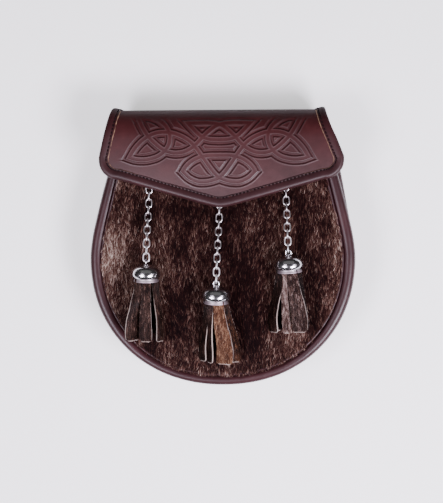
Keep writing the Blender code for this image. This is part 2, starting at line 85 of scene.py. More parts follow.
def meshFrom(name, points, faces, attributes=None):
    # points and faces as arrays; attributes maps a name to a number or a vector for each point
    mesh = bpy.data.meshes.new(name)
    faces = faces if isinstance(faces, list) else faces.tolist()
    mesh.from_pydata(np.asarray(points).reshape(-1, 3).tolist(), [], faces)
    for key, values in (attributes or {}).items():
        values = np.asarray(values, np.float32).ravel()
        isVector = len(values) > len(mesh.vertices)
        layer = mesh.attributes.new(key, "FLOAT_VECTOR" if isVector else "FLOAT", "POINT")
        layer.data.foreach_set("vector" if isVector else "value", values)
    mesh.validate()
    mesh.shade_smooth()
    return mesh


def gridFaces(rows, columns, wrapRows=False, wrapColumns=False, start=0):
    # quads of a grid of points stored row by row
    r = np.arange(rows if wrapRows else rows - 1)
    c = np.arange(columns if wrapColumns else columns - 1)
    r, c = np.meshgrid(r, c, indexing="ij")
    nextR, nextC = (r + 1) % rows, (c + 1) % columns
    quads = [r * columns + c, r * columns + nextC, nextR * columns + nextC, nextR * columns + c]
    return np.stack(quads, -1).reshape(-1, 4) + start


def joinGrids(grids):
    # the points and the quads of several grids, as one list each
    faces, first = [], 0
    for grid in grids:
        rows, columns = grid.shape[:2]
        faces.append(gridFaces(rows, columns, start=first))
        first += rows * columns
    return np.vstack([grid.reshape(-1, 3) for grid in grids]), np.vstack(faces)


def turnOutwards(mesh, merge=False):
    # new normals, after the doubles of seams and poles are merged if asked
    shape = bmesh.new()
    shape.from_mesh(mesh)
    if merge:
        bmesh.ops.remove_doubles(shape, verts=shape.verts, dist=0.001 * mm)
    bmesh.ops.recalc_face_normals(shape, faces=shape.faces)
    shape.to_mesh(mesh)
    shape.free()


def addPiece(name, mesh, material, replaces=()):
    # a finished piece at the origin, riding on the one body that the record has
    piece = bpy.data.objects.new(name, mesh)
    scene.collection.objects.link(piece)
    if material:
        mesh.materials.clear()
        mesh.materials.append(material)
    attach(piece, "root")
    if replaces:
        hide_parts(*replaces)


def addLeather(name, points, faces, material, replaces=(), attributes=None, sharp=180):
    # a closed piece of leather with its faces turned outwards; edges over the angle stay sharp
    mesh = meshFrom(name, points, faces, attributes)
    turnOutwards(mesh)
    mesh.set_sharp_from_angle(angle=math.radians(sharp))
    addPiece(name, mesh, material, replaces)


def modified(name, mesh, kind, settings, inputs=None):
    # the plain mesh that a modifier makes of a mesh; inputs are a geometry tree's, by their names
    base = bpy.data.objects.new(name, mesh)
    scene.collection.objects.link(base)
    modifier = base.modifiers.new(name, kind)
    for key, value in settings.items():
        setattr(modifier, key, value)
    for socket in modifier.node_group.interface.items_tree if inputs else ():
        if socket.name in inputs:
            modifier[socket.identifier] = inputs[socket.name]
    graph = bpy.context.evaluated_depsgraph_get()
    result = bpy.data.meshes.new_from_object(base.evaluated_get(graph))
    result.name = name
    base.modifiers.remove(modifier)
    bpy.data.objects.remove(base)
    return result


def newTree(name, inputs):
    # a geometry tree with these inputs besides its geometry, and the sockets that they come in by
    tree = bpy.data.node_groups.new(name, "GeometryNodeTree")
    for label, kind in {"Geometry": "Geometry", **inputs}.items():
        tree.interface.new_socket(name=label, in_out="INPUT", socket_type="NodeSocket" + kind)
    tree.interface.new_socket(name="Geometry", in_out="OUTPUT", socket_type="NodeSocketGeometry")
    return tree, addNode(tree, "NodeGroupInput").node.outputs


def finishTree(tree, points, shape, rotation, material, size=(1.0, 1.0, 1.0)):
    # the end of every tree: a shape at each point, as real faces with their material
    shape = addNode(tree, "GeometryNodeObjectInfo", {"Object": shape}, "Geometry")
    placed = addNode(tree, "GeometryNodeInstanceOnPoints",
                     {"Points": points, "Instance": shape, "Rotation": rotation, "Scale": size})
    real = addNode(tree, "GeometryNodeRealizeInstances", {"Geometry": placed})
    painted = addNode(tree, "GeometryNodeSetMaterial", {"Geometry": real, "Material": material})
    addNode(tree, "NodeGroupOutput", {"Geometry": painted})


def shapeObject(name, points, faces, attributes=None):
    # a small shape that a tree repeats
    mesh = meshFrom(name, points, faces, attributes)
    if attributes is None:
        turnOutwards(mesh)
    repeatedShapes.append(bpy.data.objects.new(name, mesh))
    return repeatedShapes[-1]


def unit(vectors):
    return vectors / np.linalg.norm(vectors, axis=-1, keepdims=True)


def eased(value):
    value = np.clip(value, 0.0, 1.0)
    return value * value * (3 - 2 * value)


def smoothNoise(points, size, seed=0.0):
    # smooth noise from -1 to 1 at each point, with features of about this size
    offset = Vector((seed * 13.7, seed * 7.3, seed * 3.1))
    flat = np.asarray(points).reshape(-1, 3)
    return np.array([noise.noise(Vector(p) / size + offset) for p in flat])


def evenly(line, step):
    # places a step apart along a line of points
    gaps = np.linalg.norm(np.diff(line, axis=0), axis=1)
    along = np.concatenate([[0], np.cumsum(gaps)])
    wanted = np.linspace(0, along[-1], max(2, int(round(along[-1] / step)) + 1))
    return np.stack([np.interp(wanted, along, line[:, i]) for i in range(line.shape[1])], 1)


def smoothCurve(points, step):
    # a smooth curve through the points, as evenly spaced places
    points = np.asarray(points, float)
    ends = np.vstack([2 * points[0] - points[1], points, 2 * points[-1] - points[-2]])
    t = np.linspace(0, 1, 24, endpoint=False)[:, None]
    fine = []
    for p0, p1, p2, p3 in zip(ends, ends[1:], ends[2:], ends[3:]):
        bend = (2 * p0 - 5 * p1 + 4 * p2 - p3) * t**2 + (3 * p1 - p0 - 3 * p2 + p3) * t**3
        fine.append(0.5 * (2 * p1 + (p2 - p0) * t + bend))
    return evenly(np.vstack(fine + [points[-1:]]), step)


def tubeSections(centres, radii, sides, up=(0.0, 0.0, 1.0)):
    # round rings square to a line of centres
    along = unit(np.gradient(centres, axis=0))
    across = unit(np.cross(along, up))
    above = np.cross(across, along)
    turn = np.linspace(0, 2 * math.pi, sides, endpoint=False)[:, None]
    ring = np.cos(turn) * across[:, None] + np.sin(turn) * above[:, None]
    return centres[:, None] + ring * np.asarray(radii).reshape(-1, 1, 1)


def sweep(centres, sections):
    # a skin through rings of points round their centres, closed by a fan of triangles at both ends
    count, sides = sections.shape[:2]
    ring = np.arange(sides)
    after = np.roll(ring, -1)
    first, last = count * sides, (count - 1) * sides
    start = np.stack([ring, np.full(sides, first), after], 1)
    end = np.stack([ring + last, after + last, np.full(sides, first + 1)], 1)
    faces = gridFaces(count, sides, wrapColumns=True).tolist() + start.tolist() + end.tolist()
    return np.vstack([sections.reshape(-1, 3), centres[[0, -1]]]), faces


def wireLoop(centre, wire, sides, up=(0.0, 0.0, 1.0)):
    # round wire along a closed line of points
    closed = np.vstack([centre[-1:], centre, centre[:1]])
    rings = tubeSections(closed, np.full(len(closed), wire / 2), sides, up)[1:-1]
    return rings.reshape(-1, 3), gridFaces(len(centre), sides, wrapRows=True, wrapColumns=True)


leatherSpec = {
    "grain": 0.55 * mm,  # one pebble of the grain, drawn a little coarser than calf's so that it shows
    "wrinkle": 0.18 * mm,  # between the pebbles
    "wrinkleShare": 0.45,  # of the pebbles' relief
    "relief": 0.035 * mm,
    "stain": 38 * mm,  # slow changes of tone from dyeing and handling
    "scuff": 6 * mm,
    "stainShare": 0.65,  # of the tone, the rest comes from the scuffs
    "uneven": 0.22,  # how much the scuffs change the roughness
    "foldFrom": 22 * mm,  # heights (y) between which the flap passes from handled to stretched leather
    "foldTo": 92 * mm,
    "foldRough": 0.16,
}


def leatherMaterial(name, stops, roughness, polish, marks=()):
    # Chrome-tanned cowhide, dyed dark oxblood and plated smooth, with a low wax shine: a fine pebble
    # grain, and tone that drifts over the hide. polish is the specular level low on the flap, where
    # hands raise it, and at the stretched fold. A mark tints and polishes the leather where an
    # attribute of the mesh says so: attribute, share of the tint, tint, extra polish.
    material, tree, shader = newMaterial(name, {"IOR": 1.5})
    spec = leatherSpec
    place = addNode(tree, "ShaderNodeTexCoord", output="Object")
    stain, scuff, wrinkle = [
        addNode(tree, "ShaderNodeTexNoise",
                {"Vector": place, "Scale": 1 / spec[size], "Detail": detail, "Roughness": rough})
        for size, detail, rough in (("stain", 5.0, 0.6), ("scuff", 6.0, 0.7), ("wrinkle", 2.0, 0.5))
    ]
    pebble = addNode(tree, "ShaderNodeTexVoronoi",
                     {"Vector": place, "Scale": 1 / spec["grain"], "Smoothness": 0.6}, feature="SMOOTH_F1")
    scuffed = addNode(tree, "ShaderNodeMath", (scuff, 1 - spec["stainShare"]), operation="MULTIPLY")
    tone = addNode(tree, "ShaderNodeMath", (stain, spec["stainShare"], scuffed), operation="MULTIPLY_ADD")
    colour = addNode(tree, "ShaderNodeValToRGB", [tone], stops=stops)
    rough = addNode(tree, "ShaderNodeMath", (scuff, spec["uneven"], roughness - spec["uneven"] / 2),
                    operation="MULTIPLY_ADD")
    shine = polish[0]
    if polish[0] != polish[1]:
        height = addNode(tree, "ShaderNodeSeparateXYZ", [place], "Y")
        fold = addNode(tree, "ShaderNodeMapRange", (height, spec["foldFrom"], spec["foldTo"]),
                       interpolation_type="SMOOTHSTEP")
        rough = addNode(tree, "ShaderNodeMath", (fold, spec["foldRough"], rough), operation="MULTIPLY_ADD")
        shine = addNode(tree, "ShaderNodeMath", (fold, polish[1] - polish[0], polish[0]),
                        operation="MULTIPLY_ADD")
    for attribute, share, tint, extra in marks:
        marked = addNode(tree, "ShaderNodeAttribute", output="Fac", attribute_name=attribute)
        tinted = addNode(tree, "ShaderNodeMath", (marked, share), operation="MULTIPLY")
        # the Mix node's colours are its inputs 6 and 7 and its output 2
        colour = addNode(tree, "ShaderNodeMix", {0: tinted, 6: colour, 7: linear(tint)}, 2, data_type="RGBA")
        shine = addNode(tree, "ShaderNodeMath", (marked, extra, shine), operation="MULTIPLY_ADD")
    relief = addNode(tree, "ShaderNodeMath", (wrinkle, spec["wrinkleShare"], pebble),
                     operation="MULTIPLY_ADD")
    bump = addNode(tree, "ShaderNodeBump", {"Strength": 1.0, "Distance": spec["relief"], "Height": relief})
    feed(tree, shader, {"Base Color": colour, "Roughness": rough, "Specular IOR Level": shine,
                        "Normal": bump})
    return material


flapLeather = leatherMaterial(
    "oxblood plated cowhide", [(0.3, "#2b1112"), (0.5, "#361617"), (0.72, "#421f1f")], 0.42, (0.68, 0.1),
    # painted shade darkens the grooves' walls; the rims beside them get a pale painted highlight and more
    # shine
    [("grooveShade", 1.0, "#150607", 0.0), ("rimHighlightAndShine", 0.06, "#7c5a58", 0.2)],
)
rollLeather = leatherMaterial(
    "oxblood cowhide over cord", [(0.3, "#220f11"), (0.5, "#2d1417"), (0.72, "#391b1e")], 0.38, (0.36, 0.36)
)
bindingLeather = leatherMaterial(
    "folded oxblood binding", [(0.3, "#220e10"), (0.5, "#2d1416"), (0.72, "#391b1d")], 0.42, (0.46, 0.08),
    [("raw", 1.0, "#a5866a", 0.0)],
)

# The flap is laid out flat, x across and s along it from its root, and bent over the pouch,
# with the same measures as the pouch's construction.
flapSpec = {
    "thickness": 2.4 * mm,
    "top": 98.8 * mm,
    "root": 62 * mm,
    "rear": 5.1 * mm,
    "front": 44.6 * mm,
    "slope": math.radians(1.5),
    "crown": 4.0 * mm,
    "rootHalf": 66 * mm,
    "foldHalf": 77.6 * mm,
    "foldShift": -3.2 * mm,  # the flap is cut a little wider on the left there
    "half": 88.4 * mm,
    "widest": 64 * mm,
    "tip": 27.8 * mm,
    "edgeSlope": 0.29,
    "tipEase": 5 * mm,
    "corner": 14.2 * mm,
    "cover": 2.0 * mm,  # from the binding's outside to the flap's own edge
    "step": 0.36 * mm,  # of the grid that carries the pressed pattern
    "fineHalf": 73 * mm,  # half the width of that grid
    "fineLength": 62 * mm,  # what its rows are counted from
    "fineShare": 0.88,  # of the front's length
}
flapRadius = (flapSpec["front"] - flapSpec["rear"]) / 2
flapArc = math.pi + flapSpec["slope"]
foldCentre = flapSpec["top"] - flapSpec["thickness"] / 2 - flapRadius
rootLength = foldCentre - flapSpec["root"]


def flapBend(x, s, height=0.0):
    # the place of a point of the flat flap, at a height over its middle surface
    x, s, height = np.broadcast_arrays(np.asarray(x, float), s, height)
    arcEnd = rootLength + flapRadius * flapArc
    angle = np.clip((s - rootLength) / flapRadius, 0, flapArc)
    along = np.minimum(s - rootLength, 0) + np.maximum(s - arcEnd, 0)
    crown = flapSpec["crown"] * (x / flapSpec["half"]) ** 2
    out = flapRadius + height - crown * eased(2 * angle / math.pi - 1)
    y = foldCentre + out * np.sin(angle) + along * np.cos(angle)
    z = flapSpec["rear"] + flapRadius - out * np.cos(angle) + along * np.sin(angle)
    return np.stack([x, y, z], -1)


def flapLengthTo(y):
    # the distance along the flap at which its flat front reaches y
    return rootLength + flapRadius * flapArc + (foldCentre - y) / math.cos(flapSpec["slope"])


def flapSides(s):
    # the x of the flap's middle and half its width, down to where the lower corners begin
    spec = flapSpec
    y = flapBend(0.0, s)[..., 1]
    isRear = s < rootLength + flapRadius * math.pi / 2
    rearShare = (y - spec["root"]) / (spec["top"] - spec["root"])
    frontShare = np.maximum((y - spec["widest"]) / (spec["top"] - spec["widest"]), 0)
    share = np.where(isRear, rearShare, frontShare)
    half = np.where(isRear, spec["rootHalf"], spec["half"])
    return spec["foldShift"] * share, half + (spec["foldHalf"] - half) * share


def flapLowerEdge(x):
    # the y of the bound lower edge: a blunt point, sloping sides and round corners
    spec = flapSpec
    x = np.abs(x)
    cornerX = spec["half"] - spec["corner"]
    slope = np.hypot(np.minimum(x, cornerX), spec["tipEase"]) - spec["tipEase"]
    across = np.clip(x - cornerX, 0, spec["corner"])
    drop = spec["corner"] - np.sqrt(spec["corner"] ** 2 - across**2)
    return spec["tip"] + spec["edgeSlope"] * slope + drop


def flapPath(step):
    # evenly spaced places (x, s) along the flap's outer edge, from the right rear to the left rear
    s = np.linspace(rootLength + 2 * mm, flapLengthTo(flapLowerEdge(flapSpec["half"])), 160)
    middle, half = flapSides(s)
    right = np.stack([middle + half, s], 1)
    left = np.stack([middle - half, s], 1)[::-1]
    x = flapSpec["half"] * np.cos(np.linspace(0, math.pi, 480))[1:-1]
    lower = np.stack([x, flapLengthTo(flapLowerEdge(x))], 1)
    return evenly(np.vstack([right, lower, left]), step)


# The knotwork: centre lines of the left half's strands, as seen from the front in mm (x, y).
# Each starts at a pointed tip. A strand that crosses the middle goes on as another's mirror image.
knotSpec = {
    "shift": -0.6 * mm,
    "scale": 0.9905,
    "right": 0.975,  # the right half is a little narrower than the left
    "drop": 0.3 * mm,
    "band": 3.0 * mm,  # from a strand's middle to the middle of the groove beside it
    "groove": 0.9 * mm,  # half the groove's width, between steep walls
    "depth": 0.6 * mm,
    "crown": 0.06 * mm,  # how far a strand's middle stands up
    "rim": 0.17 * mm,  # how far the leather is thrown up beside a groove
    "rimAway": 0.65 * mm,  # from the groove's wall to the rim's top
    "rimWidth": 0.42 * mm,
    "grooveShadeStrength": 0.5,  # how dark the painted shade in a groove's walls is
    "grooveShadeWidth": 0.4 * mm,
    "top": 92.5 * mm,  # the pattern fades out below this height, where the flap folds
    "fade": 4 * mm,
    "half": 80 * mm,  # what lies outside of this half width and below this height has no pattern
    "bottom": 40 * mm,
}
knotStrands = [
    # from the outer leaf's tip over the ring to the far lower lobe's tip
    [(-65.6, 64.6), (-61.5, 71.2), (-55.5, 77.2), (-48.3, 81.3), (-41.3, 82.6), (-33.3, 81.8),
     (-25.5, 78.6), (-20.1, 74.8), (-16.4, 70.6), (-12.0, 64.6), (-7.5, 58.2), (-3.4, 53.0),
     (0.6, 49.5), (5.0, 47.8), (9.8, 46.9), (15.8, 47.1), (21.8, 49.9), (26.4, 54.3)],
    # from the same leaf's tip along its lower side, up the ring and over to the upper leaf
    [(-65.6, 64.6), (-61.5, 63.3), (-56.0, 62.8), (-51.0, 63.3), (-44.8, 65.2), (-39.6, 69.2),
     (-36.4, 74.5), (-36.1, 81.0), (-39.0, 87.0), (-45.0, 91.8), (-52.5, 94.4), (-60.4, 94.2)],
    # from the upper leaf's tip down its side, under the ring and up through the middle
    [(-60.4, 94.2), (-58.3, 90.3), (-55.3, 84.9), (-51.9, 79.9), (-47.2, 75.0), (-41.2, 70.3),
     (-34.5, 67.8), (-27.3, 67.9), (-21.3, 70.3), (-16.4, 74.2), (-11.9, 79.0), (-7.3, 83.3),
     (-2.6, 86.9), (3.0, 88.6), (9.5, 89.1), (16.0, 89.1), (22.8, 88.9)],
    # from the middle lobe's tip down to the bar over the middle
    [(-22.8, 88.9), (-20.2, 86.2), (-17.0, 82.8), (-13.0, 79.4), (-7.6, 77.4), (0.0, 76.9)],
    # from the lower lobe's tip up to the bar under the middle
    [(-26.4, 54.3), (-24.2, 57.8), (-20.4, 61.3), (-15.0, 64.1), (-9.0, 65.6), (0.0, 65.8)],
]


def knotLines():
    # the strands' centre lines in place, and for each pointed tip the directions that lines leave it in
    spec = knotSpec
    lines, tips = [], {}
    for strand in knotStrands:
        curve = smoothCurve(strand, 0.3) * mm
        for line in (curve, curve * (-1, 1)):
            narrower = np.where(line[:, :1] > 0, (spec["right"], 1), 1)
            line = line * narrower * spec["scale"] + (spec["shift"], -spec["drop"])
            lines.append(line)
            for end, inner in ((line[0], line[6]), (line[-1], line[-7])):
                if abs(end[0] - spec["shift"]) > 1 * mm:
                    tips.setdefault(tuple(np.round(end / mm, 2)), []).append(unit(inner - end))
    return np.vstack(lines), tips


def knotRelief(x, y):
    # the pressed pattern at places of the flap's front: its height, with a flat groove along both sides
    # of each strand, the painted shade in the walls of the grooves, and the rims beside them, which
    # carry a painted highlight and shine more
    spec = knotSpec
    lines, tips = knotLines()
    height, grooveShade, rimHighlightAndShine = np.zeros((3, *x.shape))
    near = (np.abs(x) < spec["half"]) & (y > spec["bottom"])
    places = np.stack([x[near], y[near]], 1)
    batches = np.array_split(places, len(places) // 4000 + 1)
    found = np.concatenate([
        np.sqrt(((part[:, None] - lines) ** 2).sum(-1).min(1)) for part in batches
    ])
    # past a tip the grooves run on straight until they meet in a point
    for tip, headings in tips.items():
        away = places - np.array(tip) * mm
        isPast = np.all([away @ heading < 0 for heading in headings], axis=0)
        isPast &= np.linalg.norm(away, axis=1) < found + 0.2 * mm
        sides = [np.abs(away[:, 0] * h[1] - away[:, 1] * h[0]) for h in headings]
        found[isPast] = np.maximum(*sides)[isPast]
    groove = -spec["depth"] * np.exp(-(((found - spec["band"]) / spec["groove"]) ** 4))
    raised = spec["crown"] * eased(1 - found / spec["band"])
    beside = np.abs(found - spec["band"]) - spec["groove"]
    rim = np.exp(-(((beside - spec["rimAway"]) / spec["rimWidth"]) ** 2))
    fading = eased((spec["top"] - places[:, 1]) / spec["fade"])
    height[near] = fading * (groove + raised + spec["rim"] * rim)
    # painted shade in the grooves' walls
    grooveShade[near] = fading * spec["grooveShadeStrength"] * np.exp(-((beside / spec["grooveShadeWidth"]) ** 2))
    # where the rims take a pale painted highlight and more shine
    rimHighlightAndShine[near] = fading * rim
    return height, {"grooveShade": grooveShade, "rimHighlightAndShine": rimHighlightAndShine}


def flapGrid(s, across):
    # the x of places over the flap: s is a column along it, or one column for each place across
    middle, half = flapSides(s)
    return middle + across * (half - flapSpec["cover"])


def buildFlap():
    # a front whose grid is fine where the pattern is, and coarser grids for the rear and the underside
    spec = flapSpec
    outside = spec["thickness"] / 2
    fineHalf = spec["fineHalf"] / spec["half"]
    side = np.linspace(fineHalf, 1, 9)
    fine = np.arange(-fineHalf, fineHalf, spec["step"] / spec["half"])[1:]
    across = np.concatenate([-side[::-1], fine, side])
    fineRows = np.linspace(0, spec["fineShare"], int(spec["fineLength"] / spec["step"]))
    share = np.concatenate([fineRows, np.linspace(0.9, 1, 6)])[:, None]
    start = flapLengthTo(foldCentre) - flapRadius * 1.05  # a little below the top of the fold
    end = flapLengthTo(flapLowerEdge(across * spec["half"])) - spec["cover"]
    s = start + (end - start) * share
    x = flapGrid(s, across)
    relief, marks = knotRelief(x, flapBend(x, s, outside)[..., 1])
    front = flapBend(x, s, outside + relief)
    across = np.linspace(-1, 1, 80)
    end = flapLengthTo(flapLowerEdge(across * spec["half"])) - spec["cover"]
    s = end * np.linspace(0, 1, 60)[:, None]
    under = flapBend(flapGrid(s, across), s, -outside)
    s = np.linspace(0, start + 0.02 * mm, 26)[:, None]
    rear = flapBend(flapGrid(s, across), s, outside)
    points, faces = joinGrids([front, under[:, ::-1], rear, np.stack([under[0], rear[0]])])
    plain = np.zeros(len(points) - relief.size)
    data = {name: np.concatenate([mark.ravel(), plain]) for name, mark in marks.items()}
    mesh = meshFrom("flap", points, faces[:, ::-1], data)
    addPiece("pressedFlap", mesh, flapLeather, ["flap"])


buildFlap()
print("flap done")

bindingSpec = {
    "stepsPerStitch": 4,  # rows of the binding's grid for each stitch
    "stitchPitch": 2.7 * mm,
    "stitchLength": 1.8 * mm,
    "thread": 0.95 * mm,
    "stitchInward": 5.5 * mm,
    "stitchFront": 2.0 * mm,  # heights of the stitches over the flap's middle
    "stitchRear": -2.4 * mm,
    "pull": 0.5 * mm,  # how far a stitch draws the leather down
    "pullWidth": 0.55 * mm,
    "lip": 6.6 * mm,  # where the front lip begins to sway, how far it does and in waves of which size
    "sway": 0.35 * mm,
    "swayWave": 9 * mm,
    "rawHalf": 60 * mm,  # the lip is raw outside of this half width and over this height
    "rawHeight": 30 * mm,
    "rawWave": 2.2 * mm,
    "rawLeftShade": 0.75,  # how pale it is on the left, against the right, as painted shade on the left
    # the section from the front lip round the edge: inward, height over the flap's middle, raw leather
    "section": [
        (7.9, 1.22, 0.9), (7.75, 1.4, 1.0), (7.55, 1.6, 0.9), (7.3, 1.76, 0.1), (6.9, 1.84, 0.0),
        (6.3, 1.9, 0.0), (5.9, 1.95, 0.0), (5.5, 2.0, 0.0), (5.1, 2.1, 0.0), (4.7, 2.24, 0.0),
        (4.2, 2.45, 0.0), (3.5, 2.76, 0.0), (2.8, 2.98, 0.0), (2.1, 3.02, 0.0), (1.4, 2.78, 0.0),
        (0.8, 2.2, 0.0), (0.35, 1.3, 0.0), (0.15, 0.2, 0.0), (0.25, -0.8, 0.0), (0.7, -1.7, 0.0),
        (1.5, -2.4, 0.0), (2.6, -2.75, 0.0), (4.4, -2.65, 0.0), (5.5, -2.5, 0.0), (6.6, -2.6, 0.0),
        (7.3, -2.5, 0.0), (7.5, -1.9, 0.3), (7.6, -1.25, 0.3),
    ],
}


def edgeFrame(step):
    # places along the flap's edge, the unit direction into the flap at each, and the one along it
    path = flapPath(step)
    along = unit(np.gradient(path, axis=0))
    for _ in range(3):
        along[1:-1] = (along[:-2] + along[1:-1] + along[2:]) / 3
        along = unit(along)
    return path, np.stack([-along[:, 1], along[:, 0]], 1), along


def bindingShare(inward):
    # the binding is wider along the flap's lower edge than up its sides
    return (1.05 + 0.17 * np.abs(inward[:, 1]))[:, None]


def buildBinding():
    spec = bindingSpec
    stitchPath = flapPath(spec["stitchPitch"])
    stitches = len(stitchPath) - 1
    length = float(np.linalg.norm(np.diff(stitchPath, axis=0), axis=1).sum())
    path, inward, _ = edgeFrame(length / stitches / spec["stepsPerStitch"])
    section = np.array(spec["section"])
    across, height = section[:, 0] * mm, section[:, 1] * mm
    # the leather is drawn down under each stitch and bulges between the holes
    phase = 0.5 + 0.5 * np.cos(np.linspace(0, stitches * 2 * math.pi, len(path)))[:, None]
    line = np.exp(-(((across - spec["stitchInward"]) / spec["pullWidth"]) ** 2))[None]
    height = height[None] - np.sign(height) * spec["pull"] * line * (0.35 + 0.65 * phase)
    share = bindingShare(inward)
    beyond = np.maximum(across - spec["stitchInward"], 0)[None]
    # below the flap the lip ends just past the stitches, up the sides it stands further out
    reach = np.minimum(across, spec["stitchInward"])[None] * share + beyond * (0.95 / share**3)
    sway = smoothNoise(np.c_[path, np.zeros(len(path))], spec["swayWave"], 2.0)[:, None]
    lip = np.clip((across - spec["lip"]) / (1 * mm), 0, 1) * (height > 0)
    places = path[:, None] + inward[:, None] * (reach + sway * lip * spec["sway"])[..., None]
    points = flapBend(places[..., 0], places[..., 1], height * (1 + 0.03 * sway))
    # the lip's cut leather is raw up the sides, in a ragged line, darker on the left than on the right as
    # painted shade
    seen = points[:, 0]
    isSide = (np.abs(seen[:, 0]) > spec["rawHalf"]) & (seen[:, 2] > spec["rawHeight"])
    isSide &= seen[:, 1] < flapSpec["top"] - 1.5 * mm
    ragged = np.clip(0.6 + 0.9 * smoothNoise(seen, spec["rawWave"], 5.0), 0, 1)
    # painted shade on the left side's raw edge
    sideShading = np.where(seen[:, 0] > 0, 1.0, spec["rawLeftShade"])
    raw = section[None, :, 2] * (isSide * ragged * sideShading)[:, None]
    rows, columns = raw.shape
    ends = [list(range(columns)), list(range(rows * columns - 1, (rows - 1) * columns - 1, -1))]
    addLeather("flapBinding", points, gridFaces(rows, columns).tolist() + ends, bindingLeather,
               ["flap_binding"], {"raw": raw})


def stitchTree():
    # a stitch at each place, level with the leather and turned along the seam. The thread is waxed linen,
    # nearly black, with a few stitches worn a little paler.
    material, paint, shader = newMaterial("waxed linen thread",
                                          {"Roughness": 0.85, "Specular IOR Level": 0.1})
    tone = addNode(paint, "ShaderNodeAttribute", output="Fac", attribute_name="tone")
    worn = addNode(paint, "ShaderNodeValToRGB", [tone],
                   stops=[(0.0, "#0f0607"), (0.8, "#1a0c0d"), (1.0, "#3a2420")])
    feed(paint, shader, {"Base Color": worn})
    tree, given = newTree("stitches", {"Stitch": "Object"})
    ahead, above = [
        addNode(tree, "GeometryNodeInputNamedAttribute", {"Name": name}, "Attribute",
                data_type="FLOAT_VECTOR")
        for name in ("ahead", "above")
    ]
    level = addNode(tree, "FunctionNodeAlignRotationToVector", {"Vector": above}, axis="Z")
    turned = addNode(tree, "FunctionNodeAlignRotationToVector", {"Rotation": level, "Vector": ahead},
                     axis="X", pivot_axis="Z")
    random = addNode(tree, "FunctionNodeRandomValue", {"Seed": 4}, 1)
    toned = addNode(tree, "GeometryNodeStoreNamedAttribute",
                    {"Geometry": given["Geometry"], "Name": "tone", "Value": random})
    finishTree(tree, toned, given["Stitch"], turned, material)
    return tree


def buildStitches():
    # both rows of the seam, the front's and the rear's, each stitch with its ends pulled into the leather
    spec = bindingSpec
    path, inward, along = edgeFrame(spec["stitchPitch"])
    places = path + inward * spec["stitchInward"] * bindingShare(inward)
    tip = spec["stitchLength"] / 2
    points, ahead, above = [], [], []
    for height in (spec["stitchFront"], spec["stitchRear"]):
        points.append(flapBend(*places.T, height))
        ahead.append(flapBend(*(places + along * tip).T, height) - points[-1])
        above.append(flapBend(*places.T, height * 1.5) - points[-1])
    holes = meshFrom("stitchPlaces", np.vstack(points), [],
                     {"ahead": np.vstack(ahead), "above": np.vstack(above)})
    share = np.linspace(-1, 1, 5)
    line = np.stack([share * tip, 0 * share, -(share**4) * spec["thread"] * 0.9], 1)
    radii = spec["thread"] / 2 * np.array([0.55, 0.95, 1.0, 0.95, 0.55])
    stitch = shapeObject("stitch", *sweep(line, tubeSections(line, radii, 6)))
    mesh = modified("stitches", holes, "NODES", {"node_group": stitchTree()}, {"Stitch": stitch})
    addPiece("bindingStitches", mesh, None)


buildBinding()
buildStitches()
print("binding and stitches done")

# The body, with the same measures as the pouch's construction: rolls, gusset and the parts behind.
bodySpec = {
    "half": 96.1 * mm,
    "widestY": -8 * mm,
    "depth": 92.4 * mm,
    "roundness": 2.13,
    "narrowing": 0.215,
    "ease": 15 * mm,
    "top": 76 * mm,
    "drawIn": 4.3 * mm,
    "drawPower": 1.4,
    "backStep": 1.6 * mm,  # how far the back lies inside the front round the lower half
    "backRoll": 4.4 * mm,
    "sideRoll": 4.4 * mm,
    "bottomRoll": 3.3 * mm,
    "swell": 60 * mm,
    "lipInset": 4.5 * mm,  # from the front roll's middle line to the lip of its leather
    "lipRadius": 0.75 * mm,
    "frontUnderside": 24.6 * mm,
    "gusset": 2.0 * mm,
    "bow": 3.0 * mm,
    "gap": 0.3 * mm,
    "rim": 30.5 * mm,
    "dome": 5.0 * mm,
    "frontTop": 73 * mm,
}


def sideHalfWidth(y):
    spec = bodySpec
    return spec["half"] - spec["narrowing"] * (np.hypot(y - spec["widestY"], spec["ease"]) - spec["ease"])


def uOutline(inset):
    # the U of the pouch's edge as (x, y), from the top right round the bottom to the top left
    spec = bodySpec
    power = 2 / spec["roundness"]
    y = np.linspace(spec["top"], spec["widestY"], 40, endpoint=False)
    right = np.stack([sideHalfWidth(y) - inset, y], 1)
    angle = np.linspace(0, math.pi, 151)
    x = (spec["half"] - inset) * np.abs(np.cos(angle)) ** power * np.sign(np.cos(angle))
    down = (spec["depth"] - inset) * np.abs(np.sin(angle)) ** power
    lower = np.stack([x, spec["widestY"] - down], 1)
    return np.vstack([right, lower, right[::-1] * (-1, 1)])


def upperShare(y):
    spec = bodySpec
    return np.maximum((y - spec["widestY"]) / (spec["top"] - spec["widestY"]), 0)


def frontDrawIn(y):
    return bodySpec["drawIn"] * upperShare(y) ** bodySpec["drawPower"]


def backDrawIn(y):
    return bodySpec["backStep"] * (1 - upperShare(y))


def movedOut(xy, distance):
    # places moved away from the middle of the pouch's widest line
    away = xy - (0, bodySpec["widestY"])
    reach = np.linalg.norm(away, axis=-1)
    return (0, bodySpec["widestY"]) + away * (1 + distance / reach)[..., None]


def frontRollRadius(y):
    spec = bodySpec
    bottom = spec["widestY"] - spec["depth"]
    return spec["bottomRoll"] + (spec["sideRoll"] - spec["bottomRoll"]) * eased((y - bottom) / spec["swell"])


def frontHeight(x, y):
    spec = bodySpec
    across = np.minimum(np.abs(x) / spec["half"], 1.0)
    down = np.clip((spec["widestY"] - y) / spec["depth"], 0.0, 1.0)
    return spec["rim"] + spec["dome"] * (1 - across**4) * (1 - down**4)


def frontLine(extraInset):
    # the middle line of the front roll, or of something that runs further in, with its roll radius
    spec = bodySpec
    xy = evenly(uOutline(spec["sideRoll"]), 1.6 * mm)
    radius = frontRollRadius(xy[:, 1])
    xy = movedOut(xy, spec["sideRoll"] - radius - extraInset)
    xy[:, 0] -= np.sign(xy[:, 0]) * frontDrawIn(xy[:, 1])
    return xy, radius


